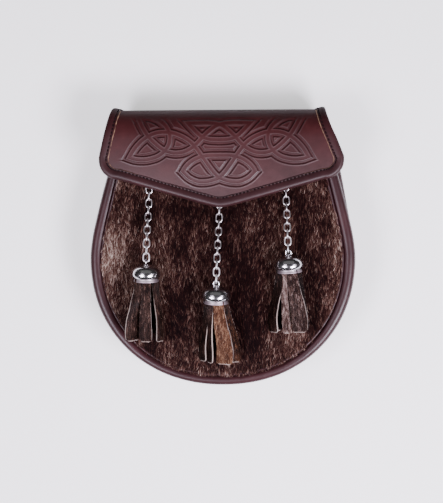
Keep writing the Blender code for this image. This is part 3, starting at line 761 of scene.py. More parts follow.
def addRoll(name, line, radius, sides, ripple=0.0, wave=1 * mm, seed=0.0, replaces=()):
    # ripple is how unevenly the leather lies over its cord, in waves of this size
    radius = radius * (1 + ripple * smoothNoise(line, wave, seed))
    addLeather(name, *sweep(line, tubeSections(line, radius, sides)), rollLeather, replaces)


def buildRolls():
    spec = bodySpec
    xy = evenly(uOutline(spec["backRoll"]), 2.2 * mm)
    xy = movedOut(xy, -backDrawIn(xy[:, 1]))
    back = np.c_[xy, np.full(len(xy), spec["backRoll"])]
    addRoll("backRoll", back, spec["backRoll"], 26, 0.012, 11 * mm, 1.0, ["back_piping"])
    xy, radius = frontLine(0)
    front = np.c_[xy, spec["frontUnderside"] + radius]
    addRoll("frontRoll", front, radius, 30, 0.014, 9 * mm, 3.0, ["front_piping"])
    # the turned edge of the roll's leather, a thin lip between the roll and the hide
    edge, _ = frontLine(spec["lipInset"])
    addRoll("rollLip", np.c_[edge, frontHeight(*edge.T) + 0.1 * mm], spec["lipRadius"], 10)


def buildGusset():
    spec = bodySpec
    xy = evenly(uOutline(spec["backRoll"]), 3 * mm)
    u = np.linspace(-1, 1, 17)
    forward = (u + 1) / 2
    bottom, top = 2 * spec["backRoll"] + spec["gap"], spec["frontUnderside"] - spec["gap"]
    drawnIn = spec["bow"] * (1 - u * u) + backDrawIn(xy[:, 1:]) * (1 - forward)
    walls = []
    for side in (-1, 1):
        place = movedOut(xy[:, None], -drawnIn - side * spec["gusset"] / 2)
        x = place[..., 0] - np.sign(place[..., 0]) * frontDrawIn(place[..., 1]) * forward
        z = np.broadcast_to(bottom + (top - bottom) * forward, x.shape)
        walls.append(np.stack([x, place[..., 1], z], -1))
    ring = np.concatenate([walls[0], walls[1][:, ::-1]], 1)
    rows, columns = ring.shape[:2]
    ends = [list(range(columns)), list(range(rows * columns - 1, (rows - 1) * columns - 1, -1))]
    faces = gridFaces(rows, columns, wrapColumns=True).tolist() + ends
    addLeather("gussetStrip", ring, faces, rollLeather, ["gusset"], sharp=40)


def dressNode(node, material, bevel, name):
    # the construction's own shape with rounded edges and its finish
    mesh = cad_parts[node].data.copy()
    shape = bmesh.new()
    shape.from_mesh(mesh)
    bmesh.ops.remove_doubles(shape, verts=shape.verts, dist=0.001 * mm)
    bmesh.ops.dissolve_limit(shape, angle_limit=math.radians(1), verts=shape.verts, edges=shape.edges)
    shape.to_mesh(mesh)
    shape.free()
    rounding = {"width": bevel, "segments": 3, "limit_method": "ANGLE", "angle_limit": math.radians(40)}
    rounded = modified(name, mesh, "BEVEL", rounding)
    rounded.shade_smooth()
    rounded.set_sharp_from_angle(angle=math.radians(50))
    addPiece(name, rounded, material, [node])


buildRolls()
buildGusset()
dressNode("back_panel", flapLeather, 0.5 * mm, "backPanel")
dressNode("strap_loop_left", bindingLeather, 0.4 * mm, "strapLoopLeft")
dressNode("strap_loop_right", bindingLeather, 0.4 * mm, "strapLoopRight")
print("body done")

furSpec = {
    "rows": 72,  # of the hide's grid, and the columns across it
    "columns": 100,
    "thickness": 3 * mm,
    "layers": 3,  # pieces that the coat is split in, to keep each one small
    "seed": 11,  # of the first layer's hairs
    "width": 0.42 * mm,
    "edge": 5 * mm,  # within this of the lower edge hairs are shorter, down to the share that follows
    "shortest": 0.32,
    "light": 0.41,  # how pale the coat is, from 0 to 1, and the streaks: strength, size and seed
    "streaks": [(0.26, 8 * mm, 4.0), (0.16, 3.6 * mm, 7.0)],
    "hair": {  # the hair tree's own inputs
        "Density": 1.95e6,  # hairs on a square metre, in each of the layers
        "Length": 5.4 * mm,
        "Lift": 0.26,  # how steeply a hair rises, against its length
        "Flow": (0.0, 1.0, 0.0),
        "Stretch": (1.0, 0.14, 0.14),  # draws the dark and pale locks out along the flow
        "Streak": 1 / (0.8 * mm),  # one over the width of those locks
        "Tuft": 1 / (3.2 * mm),  # one over the width of the locks that hairs gather in
        "Swirl": 1 / (24 * mm),  # one over the size of the places where the coat turns together
        "Wander": 1.0,
    },
    # paler and darker places of the coat as seen from the front, among them painted shadows just under the
    # flap's lower edge and right of each tassel: x, y, half width, half height in mm, strength
    "patchesAndShadows": [
        (-81, 4, 6, 26, 0.42), (-76, -10, 8, 14, 0.28), (-80, 40, 6, 14, 0.2), (84, 6, 6, 24, 0.22),
        (76, 40, 7, 10, 0.2), (53, -50, 7, 12, 0.3), (66, -50, 6, 10, -0.2), (0, -80, 26, 6, -0.12),
        (20, 8, 10, 12, 0.05), (0, 26, 60, 12, -0.22), (-35, 30, 20, 9, -0.2), (40, 36, 26, 9, -0.2),
        (-30, -40, 9, 26, -0.3), (21, -58, 12, 22, -0.4), (68, -34, 9, 24, -0.12),
        (12, -10, 22, 30, -0.24), (-67, 13, 8, 15, 0.16), (-50, -62, 18, 14, -0.12),
        (58, 4, 8, 20, -0.12), (30, 25, 11, 10, 0.3), (52, 24, 7, 12, 0.2), (-27, 2, 7, 10, -0.14),
        (-38, -16, 10, 12, 0.2), (3, -16, 8, 14, 0.12), (33, -28, 8, 26, 0.14),
        (-66, 40, 10, 8, -0.12), (-20, 24, 12, 8, 0.08), (20, -16, 11, 14, -0.1),
    ],
}
hairSpec = {
    "stray": 0.16,  # how far a hair turns from its neighbours
    "turns": [("Tuft", 1.0, 1.6), ("Swirl", 2.0, 1.3)],  # how far it turns with them: size, detail, strength
    "lockShare": 0.28,  # of a hair's tone, the rest is its own
    "lockFrom": 0.4,  # noise values between which a lock passes from dark to pale
    "lockTo": 0.64,
}


def furMaterial(name, dark, middle, tip, glow):
    # Hair-on cowhide or seal: near-black under-hair with browner shafts and pale guard-hair tips.
    # "light" comes from where a hair stands on the coat, painted shadows included, "tone" is the hair's own,
    # "along" runs root to tip.
    material, tree, shader = newMaterial(name, {"Specular IOR Level": 0.06, "Roughness": 0.5})
    light, tone, along = [
        addNode(tree, "ShaderNodeAttribute", output="Fac", attribute_name=key)
        for key in ("light", "tone", "along")
    ]
    odd = addNode(tree, "ShaderNodeMath", (tone, 2.0), operation="POWER")
    place = addNode(tree, "ShaderNodeMath", (light, 0.68), operation="MULTIPLY")
    own = addNode(tree, "ShaderNodeMath", (odd, 0.62, place), operation="MULTIPLY_ADD")
    paler = addNode(tree, "ShaderNodeMath", (along, 0.5, 0.55), operation="MULTIPLY_ADD")
    tipped = addNode(tree, "ShaderNodeMath", (own, paler), operation="MULTIPLY", use_clamp=True)
    colour = addNode(tree, "ShaderNodeValToRGB", [tipped],
                     stops=[(0.18, dark), (0.42, middle), (0.64, glow), (0.92, tip)])
    feed(tree, shader, {"Base Color": colour})
    return material


coatHair = furMaterial("dark hair-on hide coat", "#0e0405", "#2b1412", "#c6b2a4", "#684c42")
# the skin that the coat grows from: tanned hide, dyed nearly black, dull where it shows between hairs
coatSkin = newMaterial("dyed hide under the coat", {"Base Color": linear("#120b0b"), "Roughness": 0.8})[0]


def bladeObject(name, width):
    # a hair one unit long that lies along -Y and rises one unit of Z, five corners and two faces
    points = [(-0.5 * width, 0, 0), (0.5 * width, 0, 0), (0.42 * width, -0.5, 0.7),
              (-0.42 * width, -0.5, 0.7), (0, -1, 1.0)]
    return shapeObject(name, points, [[0, 3, 2, 1], [3, 4, 2]], {"along": [0, 0, 0.5, 0.5, 1]})


def hairTree(name, material):
    # Hairs over a surface: each stands off along the surface and lies with the flow, gathered in locks.
    # The surface's own "room" shortens hairs near its edges, and its "light" passes to the hairs.
    spec = hairSpec
    tree, given = newTree(name, {
        "Blade": "Object", "Density": "Float", "Seed": "Int", "Length": "Float", "Lift": "Float",
        "Flow": "Vector", "Stretch": "Vector", "Streak": "Float", "Tuft": "Float", "Swirl": "Float",
        "Wander": "Float",
    })
    roots = addNode(tree, "GeometryNodeDistributePointsOnFaces",
                    {"Mesh": given["Geometry"], "Density": given["Density"], "Seed": given["Seed"]})
    place = addNode(tree, "GeometryNodeInputPosition")
    # five random numbers for each hair: lowest, highest and seed
    stray, grown, raised, wide, single = [
        addNode(tree, "FunctionNodeRandomValue", {2: low, 3: high, "Seed": seed}, 1)
        for low, high, seed in (
            (-1.0, 1.0, 1), (0.55, 1.15, 2), (0.45, 1.25, 3), (0.7, 1.2, 5), (0.0, 1.0, 6)
        )
    ]
    turn = addNode(tree, "ShaderNodeMath", (stray, spec["stray"]), operation="MULTIPLY")
    for size, detail, strength in spec["turns"]:
        wave = addNode(tree, "ShaderNodeTexNoise", {"Vector": place, "Scale": given[size], "Detail": detail})
        centred = addNode(tree, "ShaderNodeMath", (wave, 0.5), operation="SUBTRACT")
        turn = addNode(tree, "ShaderNodeMath", (centred, strength, turn), operation="MULTIPLY_ADD")
    yaw = addNode(tree, "ShaderNodeMath", (turn, given["Wander"]), operation="MULTIPLY")
    spin = addNode(tree, "FunctionNodeEulerToRotation", [addNode(tree, "ShaderNodeCombineXYZ", {"Z": yaw})])
    normal = addNode(tree, "GeometryNodeStoreNamedAttribute",
                     {"Geometry": roots, "Name": "out", "Value": roots.node.outputs["Normal"]},
                     data_type="FLOAT_VECTOR")
    out = addNode(tree, "GeometryNodeInputNamedAttribute", {"Name": "out"}, "Attribute",
                  data_type="FLOAT_VECTOR")
    upright = addNode(tree, "FunctionNodeAlignRotationToVector", {"Vector": out}, axis="Z")
    lying = addNode(tree, "FunctionNodeAlignRotationToVector",
                    {"Rotation": upright, "Vector": given["Flow"]}, axis="Y", pivot_axis="Z")
    turned = addNode(tree, "FunctionNodeRotateRotation", {"Rotation": lying, "Rotate By": spin},
                     rotation_space="LOCAL")
    length = addNode(tree, "GeometryNodeInputNamedAttribute", {"Name": "room"}, "Attribute")
    for factor in (grown, given["Length"]):
        length = addNode(tree, "ShaderNodeMath", (length, factor), operation="MULTIPLY")
    rise = length
    for factor in (raised, given["Lift"]):
        rise = addNode(tree, "ShaderNodeMath", (rise, factor), operation="MULTIPLY")
    size = addNode(tree, "ShaderNodeCombineXYZ", (wide, length, rise))
    drawn = addNode(tree, "ShaderNodeVectorMath", (place, given["Stretch"]), operation="MULTIPLY")
    streak = addNode(tree, "ShaderNodeTexNoise",
                     {"Vector": drawn, "Scale": given["Streak"], "Detail": 1.5, "Distortion": 0.4})
    locks = addNode(tree, "ShaderNodeMapRange", (streak, spec["lockFrom"], spec["lockTo"]))
    own = addNode(tree, "ShaderNodeMath", (single, 1 - spec["lockShare"]), operation="MULTIPLY")
    tone = addNode(tree, "ShaderNodeMath", (locks, spec["lockShare"], own), operation="MULTIPLY_ADD")
    toned = addNode(tree, "GeometryNodeStoreNamedAttribute",
                    {"Geometry": normal, "Name": "tone", "Value": tone})
    finishTree(tree, toned, given["Blade"], turned, material, size)
    return tree


def frontSurface():
    # the domed hide, as places (x, y) row by row, to its edge inside the roll
    spec = bodySpec
    power = 2 / spec["roundness"]
    rows = []
    for v in np.linspace(0, 1, furSpec["rows"]):
        if v < 0.5:
            y = spec["frontTop"] + (spec["widestY"] - spec["frontTop"]) * v * 2
            half = sideHalfWidth(y) - 2 * frontRollRadius(y) - frontDrawIn(y) - spec["gap"]
        else:
            angle = (v - 0.5) * 2 * math.radians(88)
            outer = spec["widestY"] - spec["depth"] * math.sin(angle) ** power
            inset = 2 * frontRollRadius(outer) + spec["gap"]
            half = (spec["half"] - inset) * math.cos(angle) ** power
            y = spec["widestY"] - (spec["depth"] - inset) * math.sin(angle) ** power
        across = half * np.sin(np.linspace(-1, 1, furSpec["columns"]) * math.pi / 2)
        rows.append(np.c_[across, np.full(len(across), y)])
    return np.array(rows)


def coatLight(xy):
    # how pale the coat is at each place: patches, painted shadows among them, and streaks that run down with
    # the hair
    light = np.full(len(xy), furSpec["light"])
    for x, y, wide, high, strength in furSpec["patchesAndShadows"]:
        light += strength * np.exp(-(((xy[:, 0] / mm - x) / wide) ** 2) - ((xy[:, 1] / mm - y) / high) ** 2)
    points = np.c_[xy[:, 0], xy[:, 1] * 0.4, np.zeros(len(xy))]
    for strength, size, seed in furSpec["streaks"]:
        light += strength * smoothNoise(points, size, seed)
    return np.clip(light, 0, 1)


def buildFur():
    spec = furSpec
    grid = frontSurface()
    rows, columns = grid.shape[:2]
    xy = grid.reshape(-1, 2)
    height = frontHeight(*xy.T)
    faces = gridFaces(rows, columns)
    skin = np.vstack([np.c_[xy, height], np.c_[xy, height - spec["thickness"]]])
    both = np.vstack([faces[:, ::-1], faces + rows * columns])
    addPiece("coatSkin", meshFrom("coatSkin", skin, both), coatSkin, ["fur_front"])
    # hairs near the lower edge are shorter, so that they end against the roll
    lower = grid[rows // 2:, -1][::-1]
    edge = np.interp(np.abs(xy[:, 0]), lower[:, 0], lower[:, 1])
    room = np.clip((xy[:, 1] - edge) / spec["edge"], spec["shortest"], 1)
    data = {"light": coatLight(xy), "room": room}
    blade = bladeObject("hair", spec["width"])
    tree = hairTree("coat", coatHair)
    for layer in range(spec["layers"]):
        surface = meshFrom("coat", np.c_[xy, height], faces[:, ::-1], data)
        inputs = {**spec["hair"], "Blade": blade, "Seed": spec["seed"] + layer}
        name = f"coatHair{layer}"
        addPiece(name, modified(name, surface, "NODES", {"node_group": tree}, inputs), None)


buildFur()
print("fur done")

# Nickel plating over brass, polished: near-white metal with faint swirls of about 1.1 mm from handling.
# The rolled rim of a cap isn't polished as far as its dome, and its darker pink tint is a painted
# reflection.
plated, platedTree, platedShader = newMaterial("polished nickel plate", {"Metallic": 1.0})
swirls = addNode(platedTree, "ShaderNodeTexNoise", {
    "Vector": addNode(platedTree, "ShaderNodeTexCoord", output="Object"), "Scale": 0.9 / mm, "Detail": 3.0,
})
rolled = addNode(platedTree, "ShaderNodeAttribute", output="Fac", attribute_name="rolled")
domeRough = addNode(platedTree, "ShaderNodeMath", (swirls, 0.1, 0.14), operation="MULTIPLY_ADD")
feed(platedTree, platedShader, {
    "Roughness": addNode(platedTree, "ShaderNodeMath", (rolled, 0.34, domeRough), operation="MULTIPLY_ADD"),
    # the rim's darker pink tint is a painted reflection
    "Base Color": addNode(platedTree, "ShaderNodeValToRGB", [rolled],
                          stops=[(0.0, "#d6d4d6"), (1.0, "#a5979c")]),
})
# The links' wire is tumbled, not polished: the same plating with a soft, even shine.
linkPlate = newMaterial(
    "nickel-plated wire", {"Base Color": linear("#dcd6d6"), "Metallic": 1.0, "Roughness": 0.3}
)[0]

dressNode("press_stud", plated, 0.5 * mm, "pressStud")

# each drop: the place of its staple, its number of links and its lean in degrees
drops = {
    "left": {"staple": (-52.0 * mm, 44 * mm), "links": 11, "lean": -0.7},
    "centre": {"staple": (-1.0 * mm, 33.5 * mm), "links": 12, "lean": -1.3},
    "right": {"staple": (46.3 * mm, 45.6 * mm), "links": 10, "lean": 2.8},
}
chainSpec = {
    "length": 7.4 * mm,  # of a link
    "width": 5.4 * mm,
    "wire": 1.05 * mm,
    "clearance": 0.25 * mm,
    "climb": math.radians(22),  # how steeply the chain rises over the hide at its middle
    "staple": 1.5 * mm,
    "stapleWire": 0.9 * mm,
    "plate": 0.8 * mm,
    "plateWidth": 5 * mm,
}


def linkObject():
    # one oval link of round wire, its length along Y
    spec = chainSpec
    bend = (spec["width"] - spec["wire"]) / 2
    straight = (spec["length"] - spec["wire"]) / 2 - bend
    angle = np.linspace(0, 2 * math.pi, 28, endpoint=False)
    y = bend * np.sin(angle) + straight * np.tanh(4 * np.sin(angle))
    points, faces = wireLoop(np.stack([bend * np.cos(angle), y, 0 * angle], 1), spec["wire"], 10)
    return shapeObject("link", points, faces)


def ringMesh(radius, wire):
    # a ring about its own X axis
    angle = np.linspace(0, 2 * math.pi, 32, endpoint=False)
    centre = np.stack([0 * angle, radius * np.cos(angle), radius * np.sin(angle)], 1)
    return wireLoop(centre, wire, 12, (1.0, 0.0, 0.0))


def chainTree():
    # a link at each place, turned as the place says
    tree, given = newTree("chain", {"Link": "Object"})
    turn = addNode(tree, "GeometryNodeInputNamedAttribute", {"Name": "turn"}, "Attribute",
                   data_type="FLOAT_VECTOR")
    spin = addNode(tree, "FunctionNodeEulerToRotation", [turn])
    finishTree(tree, given["Geometry"], given["Link"], spin, linkPlate)
    return tree


def chainPlaces(drop):
    # the staple's hole, the places and turns of the links from there down, and the place of the cap's eye
    spec = chainSpec
    x, y = drop["staple"]
    lean = math.radians(drop["lean"])
    pitch = spec["length"] - 2 * spec["wire"] - spec["clearance"]
    toHole = (spec["length"] - spec["wire"]) / 2 - pitch / 2
    bottom = frontHeight(x, y) + bodySpec["gap"] + spec["plate"] / 2
    hole = Vector((x, y, bottom + spec["staple"] + spec["stapleWire"] / 2))
    joint = hole - Vector((0, toHole, 0))
    places, turns = [], []
    for index in range(drop["links"]):
        slope = spec["climb"] * math.sin(math.pi * (index + 0.5) / drop["links"]) ** 2
        along = Vector((math.sin(lean), -math.cos(slope), math.sin(slope))).normalized()
        upright = along.cross(Vector((1, 0, 0))).normalized()
        across = upright.cross(along)
        axes = Matrix((across, along, across.cross(along))).transposed()
        quarter = Matrix.Rotation(math.pi / 2 * (index % 2), 3, "Y")
        places.append(joint + along * pitch / 2)
        turns.append((axes @ quarter).to_euler())
        joint = joint + along * pitch
    return hole, places, turns, joint + along * toHole


def buildChain(name, drop, link, tree):
    # the links, and the staple that they hang from: a ring on a small plate
    spec = chainSpec
    hole, places, turns, eye = chainPlaces(drop)
    points = meshFrom("links", [tuple(p) for p in places], [], {"turn": [tuple(t) for t in turns]})
    mesh = modified("chain", points, "NODES", {"node_group": tree}, {"Link": link})
    replaced = [f"chain_{name}_link_{i + 1:02d}" for i in range(drop["links"])]
    addPiece(f"chain{name.capitalize()}", mesh, None, replaced)
    ring, faces = ringMesh(spec["staple"], spec["stapleWire"])
    wide = spec["plateWidth"] / 2
    low = float(frontHeight(hole.x, hole.y)) + bodySpec["gap"] - hole.z
    corners = ((-wide, -wide), (wide, -wide), (wide, wide), (-wide, wide))
    plate = np.array([(x, y, z) for z in (low, low + spec["plate"]) for x, y in corners])
    box = [[3, 2, 1, 0], [4, 5, 6, 7], [0, 1, 5, 4], [1, 2, 6, 5], [2, 3, 7, 6], [3, 0, 4, 7]]
    faces = np.vstack([faces, np.array(box) + len(ring)])
    staple = meshFrom("staple", np.vstack([ring, plate]) + np.array(hole), faces)
    turnOutwards(staple)
    staple.set_sharp_from_angle(angle=math.radians(40))
    addPiece(f"staple{name.capitalize()}", staple, plated, [f"chain_staple_{name}"])
    return eye


capSpec = {
    "eye": 2.0 * mm,
    "eyeWire": 1.1 * mm,
    "eyeHeight": 14.3 * mm,
    "rimTop": 2.6 * mm,  # the height where the polish begins to end
    "rimFade": 0.8 * mm,
    # from the top to the rim and up inside: radius and height in mm
    "profile": [
        (0.0, 12.6), (1.0, 12.58), (1.9, 12.5), (2.4, 12.3), (2.6, 12.1), (3.8, 12.0), (5.6, 11.5),
        (7.4, 10.7), (8.9, 9.4), (9.85, 7.9), (10.3, 6.4), (10.35, 5.3), (10.1, 4.2), (9.5, 3.2),
        (8.9, 2.6), (8.6, 2.3), (8.6, 2.1), (8.7, 1.5), (8.9, 0.8), (8.95, 0.5), (8.85, 0.2),
        (8.5, 0.05), (8.1, 0.2), (7.9, 0.9), (7.9, 3.0), (8.4, 5.4), (8.0, 7.4), (6.0, 9.6), (0.0, 10.8),
    ],
    "sides": 72,
}


def buildCap(name, drop, hanger):
    # a turned cap with its eye, which stands square to the last link
    spec = capSpec
    radius, height = (smoothCurve(spec["profile"], 0.35) * mm).T[:, :, None]
    angle = np.linspace(0, 2 * math.pi, spec["sides"], endpoint=False)
    rings = np.stack([radius * np.cos(angle), radius * np.sin(angle), height + 0 * angle], -1)
    faces = gridFaces(*rings.shape[:2], wrapColumns=True)
    eye, eyeFaces = ringMesh(spec["eye"], spec["eyeWire"])
    if drop["links"] % 2 == 0:
        eye = eye[:, [1, 0, 2]]
    points = np.vstack([rings.reshape(-1, 3), eye + (0, 0, spec["eyeHeight"])])
    faces = np.vstack([faces, eyeFaces + rings.shape[0] * rings.shape[1]])
    rolled = eased((spec["rimTop"] - points[:, 2]) / spec["rimFade"])
    mesh = meshFrom("cap", points, faces, {"rolled": rolled})
    turnOutwards(mesh, merge=True)
    mesh.transform(hanger)
    addPiece(f"cap{name.capitalize()}", mesh, plated, [f"tassel_cap_{name}"])


# The cut edges and flesh side of the strips: pale undyed suede, slightly fuzzy.
suede = newMaterial(
    "pale suede cut edge", {"Base Color": linear("#93847b"), "Roughness": 0.9, "Sheen Weight": 0.15}
)[0]
tasselHair = {
    "grey": furMaterial("grey-brown tassel hair", "#0c0605", "#211310", "#94786c", "#49332b"),
    "fox": furMaterial("fox-brown tassel hair", "#120907", "#341c13", "#a8876d", "#66432f"),
    "pale": furMaterial("grey-brown tassel hair, paler", "#0c0605", "#241614", "#b49e98", "#554038"),
}
tasselSpec = {
    "length": 43 * mm,
    "thickness": 1.0 * mm,
    "corner": 2.3 * mm,  # of a strip's lower end
    "cornerArc": (0.2, 1.57),
    "top": 4 * mm,  # how far the strips reach up into the cap
    "neck": 6.9,  # in mm, the radius that the strips stand round at their tops
    "lift": 6.1 * mm,  # of the tassel's middle line over the hide at its lower end
    "bow": 0.35 * mm,
    "topWidth": 0.62,  # of a strip, against its lower end
    "wave": 0.02,  # how unevenly a strip's sides are cut
    "curl": 0.12,  # how far its edges turn away from the hair, against half its width
    "rows": 34,  # of a strip's grid over the corners, and the columns across it
    "columns": 9,
    "bladeWidth": 0.24 * mm,
    "streaks": [(0.2, 0.3, 1.6 * mm, 2.0), (0.2, 0.5, 5 * mm, 9.0)],  # strength, lengthening, size, seed
    "hair": {  # the hair tree's own inputs, as in the coat
        "Density": 11e6, "Seed": 31, "Length": 3.4 * mm, "Lift": 0.12, "Flow": (0.0, 0.0, 1.0),
        "Stretch": (1.0, 1.0, 0.2), "Streak": 1 / (1.2 * mm), "Tuft": 1 / (2 * mm),
        "Swirl": 1 / (15 * mm), "Wander": 0.28,
    },
    # a strip: x at its top and its bottom, width there, depth towards the front, twist in degrees,
    # length, how pale its hair is, and which coat it was cut from
    "left": [
        (-3.9, -9.7, 11.2, 4.0, 54, 42.6, 0.42, "grey"), (1.0, -0.5, 9.2, 5.2, -12, 43.0, 0.46, "grey"),
        (6.6, 10.6, 7.0, 3.2, 30, 42.8, 0.36, "grey"),
        (-5.8, -10.4, 7.0, -2.6, 10, 41.4, 0.18, "grey"), (-1.0, -1.0, 6.0, -3.2, -6, 41.8, 0.16, "grey"),
        (6.4, 9.6, 5.4, -2.8, 12, 41.2, 0.16, "grey"),
    ],
    "centre": [
        (-5.9, -9.6, 7.0, 2.2, -28, 42.0, 0.26, "grey"), (-3.8, -4.2, 6.4, 4.2, -40, 42.8, 0.34, "grey"),
        (2.2, 6.9, 12.0, 5.4, -20, 43.4, 0.66, "fox"), (6.6, 14.6, 7.8, 2.4, 14, 42.2, 0.24, "fox"),
        (-5.4, -7.2, 7.0, -2.4, 12, 41.6, 0.16, "grey"), (6.0, 8.0, 6.8, -2.8, -12, 41.2, 0.18, "grey"),
    ],
    "right": [
        (-6.4, -14.0, 9.6, 2.4, -30, 42.0, 0.26, "grey"), (-3.4, -4.3, 5.4, 4.0, 8, 43.0, 0.72, "pale"),
        (2.2, 5.5, 11.4, 5.2, -20, 42.6, 0.5, "pale"), (-5.0, -10.2, 6.4, -2.4, 10, 41.6, 0.16, "grey"),
        (6.2, 8.2, 6.6, -2.8, -10, 41.2, 0.18, "grey"),
    ],
}


def hangerMatrix(drop, eye):
    # the frame that a cap and its tassel hang in: Z up to the eye, -Y towards the viewer
    spec = tasselSpec
    long = capSpec["eyeHeight"] + spec["length"]
    endZ = float(frontHeight(eye.x, eye.y - long)) + spec["lift"]
    tilt = math.atan2(eye.z - endZ, long)
    lean = math.radians(drop["lean"])
    turn = Matrix.Rotation(lean, 4, "Z") @ Matrix.Rotation(tilt - math.pi / 2, 4, "X")
    return Matrix.Translation(eye) @ turn @ Matrix.Translation((0, 0, -capSpec["eyeHeight"]))


def stripGrid(strip, index, height):
    # one strip's surface at a height over its middle: rows down it, each from side to side
    topX, bottomX, wide, depth, twist, length = strip[:6]
    spec = tasselSpec
    rounded = spec["corner"] / (length * mm + spec["top"])  # the share of the length that the corners take
    ending = 1 - rounded * (1 - np.sin(np.linspace(*spec["cornerArc"], 7)))
    v = np.concatenate([np.linspace(0, 1 - rounded, spec["rows"]), ending])[:, None]
    u = np.linspace(-1, 1, spec["columns"])[None]
    spread = eased(v * 1.15)  # from the strip's place in the cap to its place at the end
    bow = spec["bow"] * np.sin(v * 7 + index * 1.7) * v
    middle = (topX + (bottomX - topX) * spread) * mm + bow
    topDepth = math.sqrt(max(spec["neck"] ** 2 - topX**2, 1.0)) * (1 if depth > 0 else -1)
    front = (topDepth + (depth - topDepth) * spread) * mm
    half = (wide * 0.5 * (spec["topWidth"] + (1 - spec["topWidth"]) * spread)) * mm
    turn = np.radians(twist * eased(v * 1.6) + topX * 3.0)
    # wavy sides that draw in round the lower corners, and edges that curl away from the hair
    arc = 1 - np.sqrt(np.clip(1 - np.clip((v - 1 + rounded) / rounded, 0, 1) ** 2, 0, 1))
    across = half * u * (1 + spec["wave"] * np.sin(v * 23 + index))
    across = across - np.sign(u) * np.abs(u) ** 3 * np.minimum(spec["corner"], half) * arc
    out = height - spec["curl"] * half * u**2 * spread
    x = middle + across * np.cos(turn) + out * np.sin(turn)
    y = -front - out * np.cos(turn) + across * np.sin(turn)
    z = spec["top"] - (length * mm + spec["top"]) * v + 0.15 * mm * np.sin(u * 5 + index)
    return np.stack([x, y, z], -1)


def stripSolid(strip, index, start):
    # a strip's points, front and back, and its faces with the cut edges all round
    half = tasselSpec["thickness"] / 2
    outer, inner = stripGrid(strip, index, half), stripGrid(strip, index, -half)
    rows, columns = outer.shape[:2]
    count = rows * columns
    faces = gridFaces(rows, columns)
    rim = np.concatenate([
        np.arange(columns), np.arange(1, rows) * columns + columns - 1,
        np.arange(columns - 2, -1, -1) + (rows - 1) * columns, np.arange(rows - 2, 0, -1) * columns,
    ])
    after = np.roll(rim, -1)
    edges = np.stack([rim, rim + count, after + count, after], 1)
    points = np.vstack([outer.reshape(-1, 3), inner.reshape(-1, 3)])
    return points, np.vstack([faces, faces[:, ::-1] + count, edges]) + start


def buildTassel(name, hanger, blade, trees):
    # the strips as one piece, and the hair of each coat that they were cut from
    spec = tasselSpec
    points, faces, coats = np.empty((0, 3)), [], {}
    for index, strip in enumerate(spec[name]):
        length, pale, coat = strip[5:]
        stripPoints, stripFaces = stripSolid(strip, index, len(points))
        points = np.vstack([points, stripPoints])
        faces.append(stripFaces)
        grid = stripGrid(strip, index, spec["thickness"] / 2 + 0.02 * mm)
        light = pale
        for strength, longer, size, seed in spec["streaks"]:
            light = light + strength * smoothNoise(grid * (1, 1, longer), size, index + seed)
        # hairs are shorter near the lower end, and none hangs past it
        down = (spec["top"] - grid[..., 2]) / (spec["top"] + length * mm)
        room = np.clip((0.99 - down) / 0.07, 0.04, 1.0)
        coats.setdefault(coat, []).append((grid, np.clip(light, 0, 1), room.ravel()))
    mesh = meshFrom("strips", points, np.vstack(faces))
    turnOutwards(mesh)
    mesh.set_sharp_from_angle(angle=math.radians(50))
    mesh.transform(hanger)
    addPiece(f"strips{name.capitalize()}", mesh, suede, [f"tassel_{name}"])
    for coat, parts in coats.items():
        grids, lights, rooms = zip(*parts)
        coatPoints, coatFaces = joinGrids(grids)
        data = {"light": np.concatenate(lights), "room": np.concatenate(rooms)}
        surface = meshFrom("stripCoat", coatPoints, coatFaces[:, ::-1], data)
        hair = modified("stripHair", surface, "NODES", {"node_group": trees[coat]},
                        {**spec["hair"], "Blade": blade})
        hair.transform(hanger)
        addPiece(f"stripHair{name.capitalize()}{coat.capitalize()}", hair, None)


def buildDrops():
    link, linkTree = linkObject(), chainTree()
    blade = bladeObject("stripBlade", tasselSpec["bladeWidth"])
    trees = {coat: hairTree(coat, material) for coat, material in tasselHair.items()}
    for name, drop in drops.items():
        eye = buildChain(name, drop, link, linkTree)
        hanger = hangerMatrix(drop, eye)
        buildCap(name, drop, hanger)
        buildTassel(name, hanger, blade, trees)


buildDrops()
print("drops done")

studioSpec = {
    "side": 5.0,  # degrees that the view leans to the right
    "distance": 1200 * mm,  # from the camera to just over the flap's front
    "scale": 0.7138 * mm,  # per pixel there
    "frame": (443, 503),
    "middle": (222.1, 245.9),  # the pixel that shows the point on the pouch's middle line
    "aim": Vector((0, 0, 29 * mm)),
    "lens": 15 * mm,  # how much further away the camera stands
    "lightAim": Vector((0, 0, 30 * mm)),
    # two soft boxes, two small cards for the caps' highlights and a wide card behind:
    # place, size, power and colour
    "lights": {
        "boxLeft": ((-0.5, -0.36, 0.84), (0.5, 0.4), 13, "#f6f0ff"),
        "boxRight": ((0.58, -0.46, 0.76), (0.5, 0.36), 26, "#f6f0ff"),
        "cardLeft": ((-0.42, 0.04, 0.92), (0.34, 0.34), 1.6, "#f6f0ff"),
        "cardRight": ((0.72, 0.04, 0.68), (0.3, 0.3), 1.3, "#f6f0ff"),
        "farCard": ((0, 0.75, 0.8), (1.6, 0.9), 0.6, "#ffffff"),
    },
    "world": 0.03,
    "floorHalf": 260 * mm,
    "floorDrop": 0.5 * mm,
}


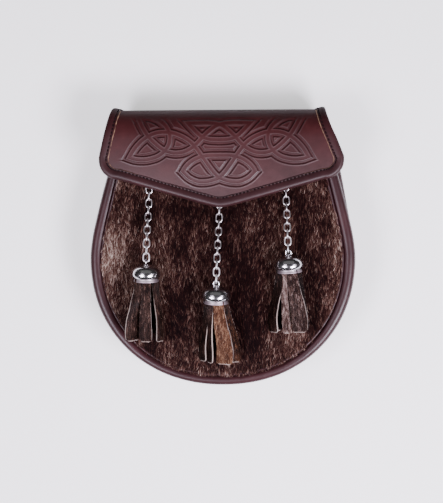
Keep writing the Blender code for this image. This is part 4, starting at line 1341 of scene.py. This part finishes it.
def addCamera():
    spec = studioSpec
    data = bpy.data.cameras.new("camera")
    camera = bpy.data.objects.new("camera", data)
    scene.collection.objects.link(camera)
    wide, high = spec["frame"]
    data.sensor_width = 36
    data.lens = data.sensor_width * spec["distance"] / (high * spec["scale"])
    lean = math.radians(spec["side"])
    back = Vector((math.sin(lean), 0, math.cos(lean)))
    right = Vector((math.cos(lean), 0, -math.sin(lean)))
    up = Vector((0, 1, 0))
    target = spec["aim"] + right * (wide / 2 - spec["middle"][0]) * spec["scale"]
    target += up * (spec["middle"][1] - high / 2) * spec["scale"]
    camera.location = target + back * (spec["distance"] + spec["lens"])
    camera.rotation_euler = Matrix((right, up, back)).transposed().to_euler()
    data.clip_start = 0.05
    data.clip_end = 20
    scene.camera = camera


def addLight(name, place, size, power, colour):
    data = bpy.data.lights.new(name, "AREA")
    data.shape = "RECTANGLE"
    data.size, data.size_y = size
    data.energy = power
    data.color = linear(colour)[:3]
    lamp = bpy.data.objects.new(name, data)
    scene.collection.objects.link(lamp)
    lamp.location = place
    lamp.rotation_euler = (studioSpec["lightAim"] - lamp.location).to_track_quat("-Z", "Y").to_euler()


def addFloor():
    # matt white paint that glows a little, so that the floor stays pale round the pouch
    half = studioSpec["floorHalf"]
    mesh = meshFrom("floor", [(-half, -half, 0), (half, -half, 0), (half, half, 0), (-half, half, 0)],
                    [(0, 1, 2, 3)])
    mesh.materials.append(newMaterial("matt white studio floor", {
        "Base Color": linear("#f6f6f6"), "Roughness": 0.9,
        "Emission Color": linear("#ffffff"), "Emission Strength": 0.7,
    })[0])
    floor = bpy.data.objects.new("floor", mesh)
    scene.collection.objects.link(floor)
    floor.location.z = -studioSpec["floorDrop"]


addCamera()
for name, light in studioSpec["lights"].items():
    addLight(name, *light)
world = bpy.data.worlds.new("studio")
world.use_nodes = True
feed(world.node_tree, world.node_tree.nodes["Background"],
     {"Color": linear("#ffffff"), "Strength": studioSpec["world"]})
scene.world = world
addFloor()
print("studio done")

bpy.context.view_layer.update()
for shape in repeatedShapes:
    bpy.data.objects.remove(shape)
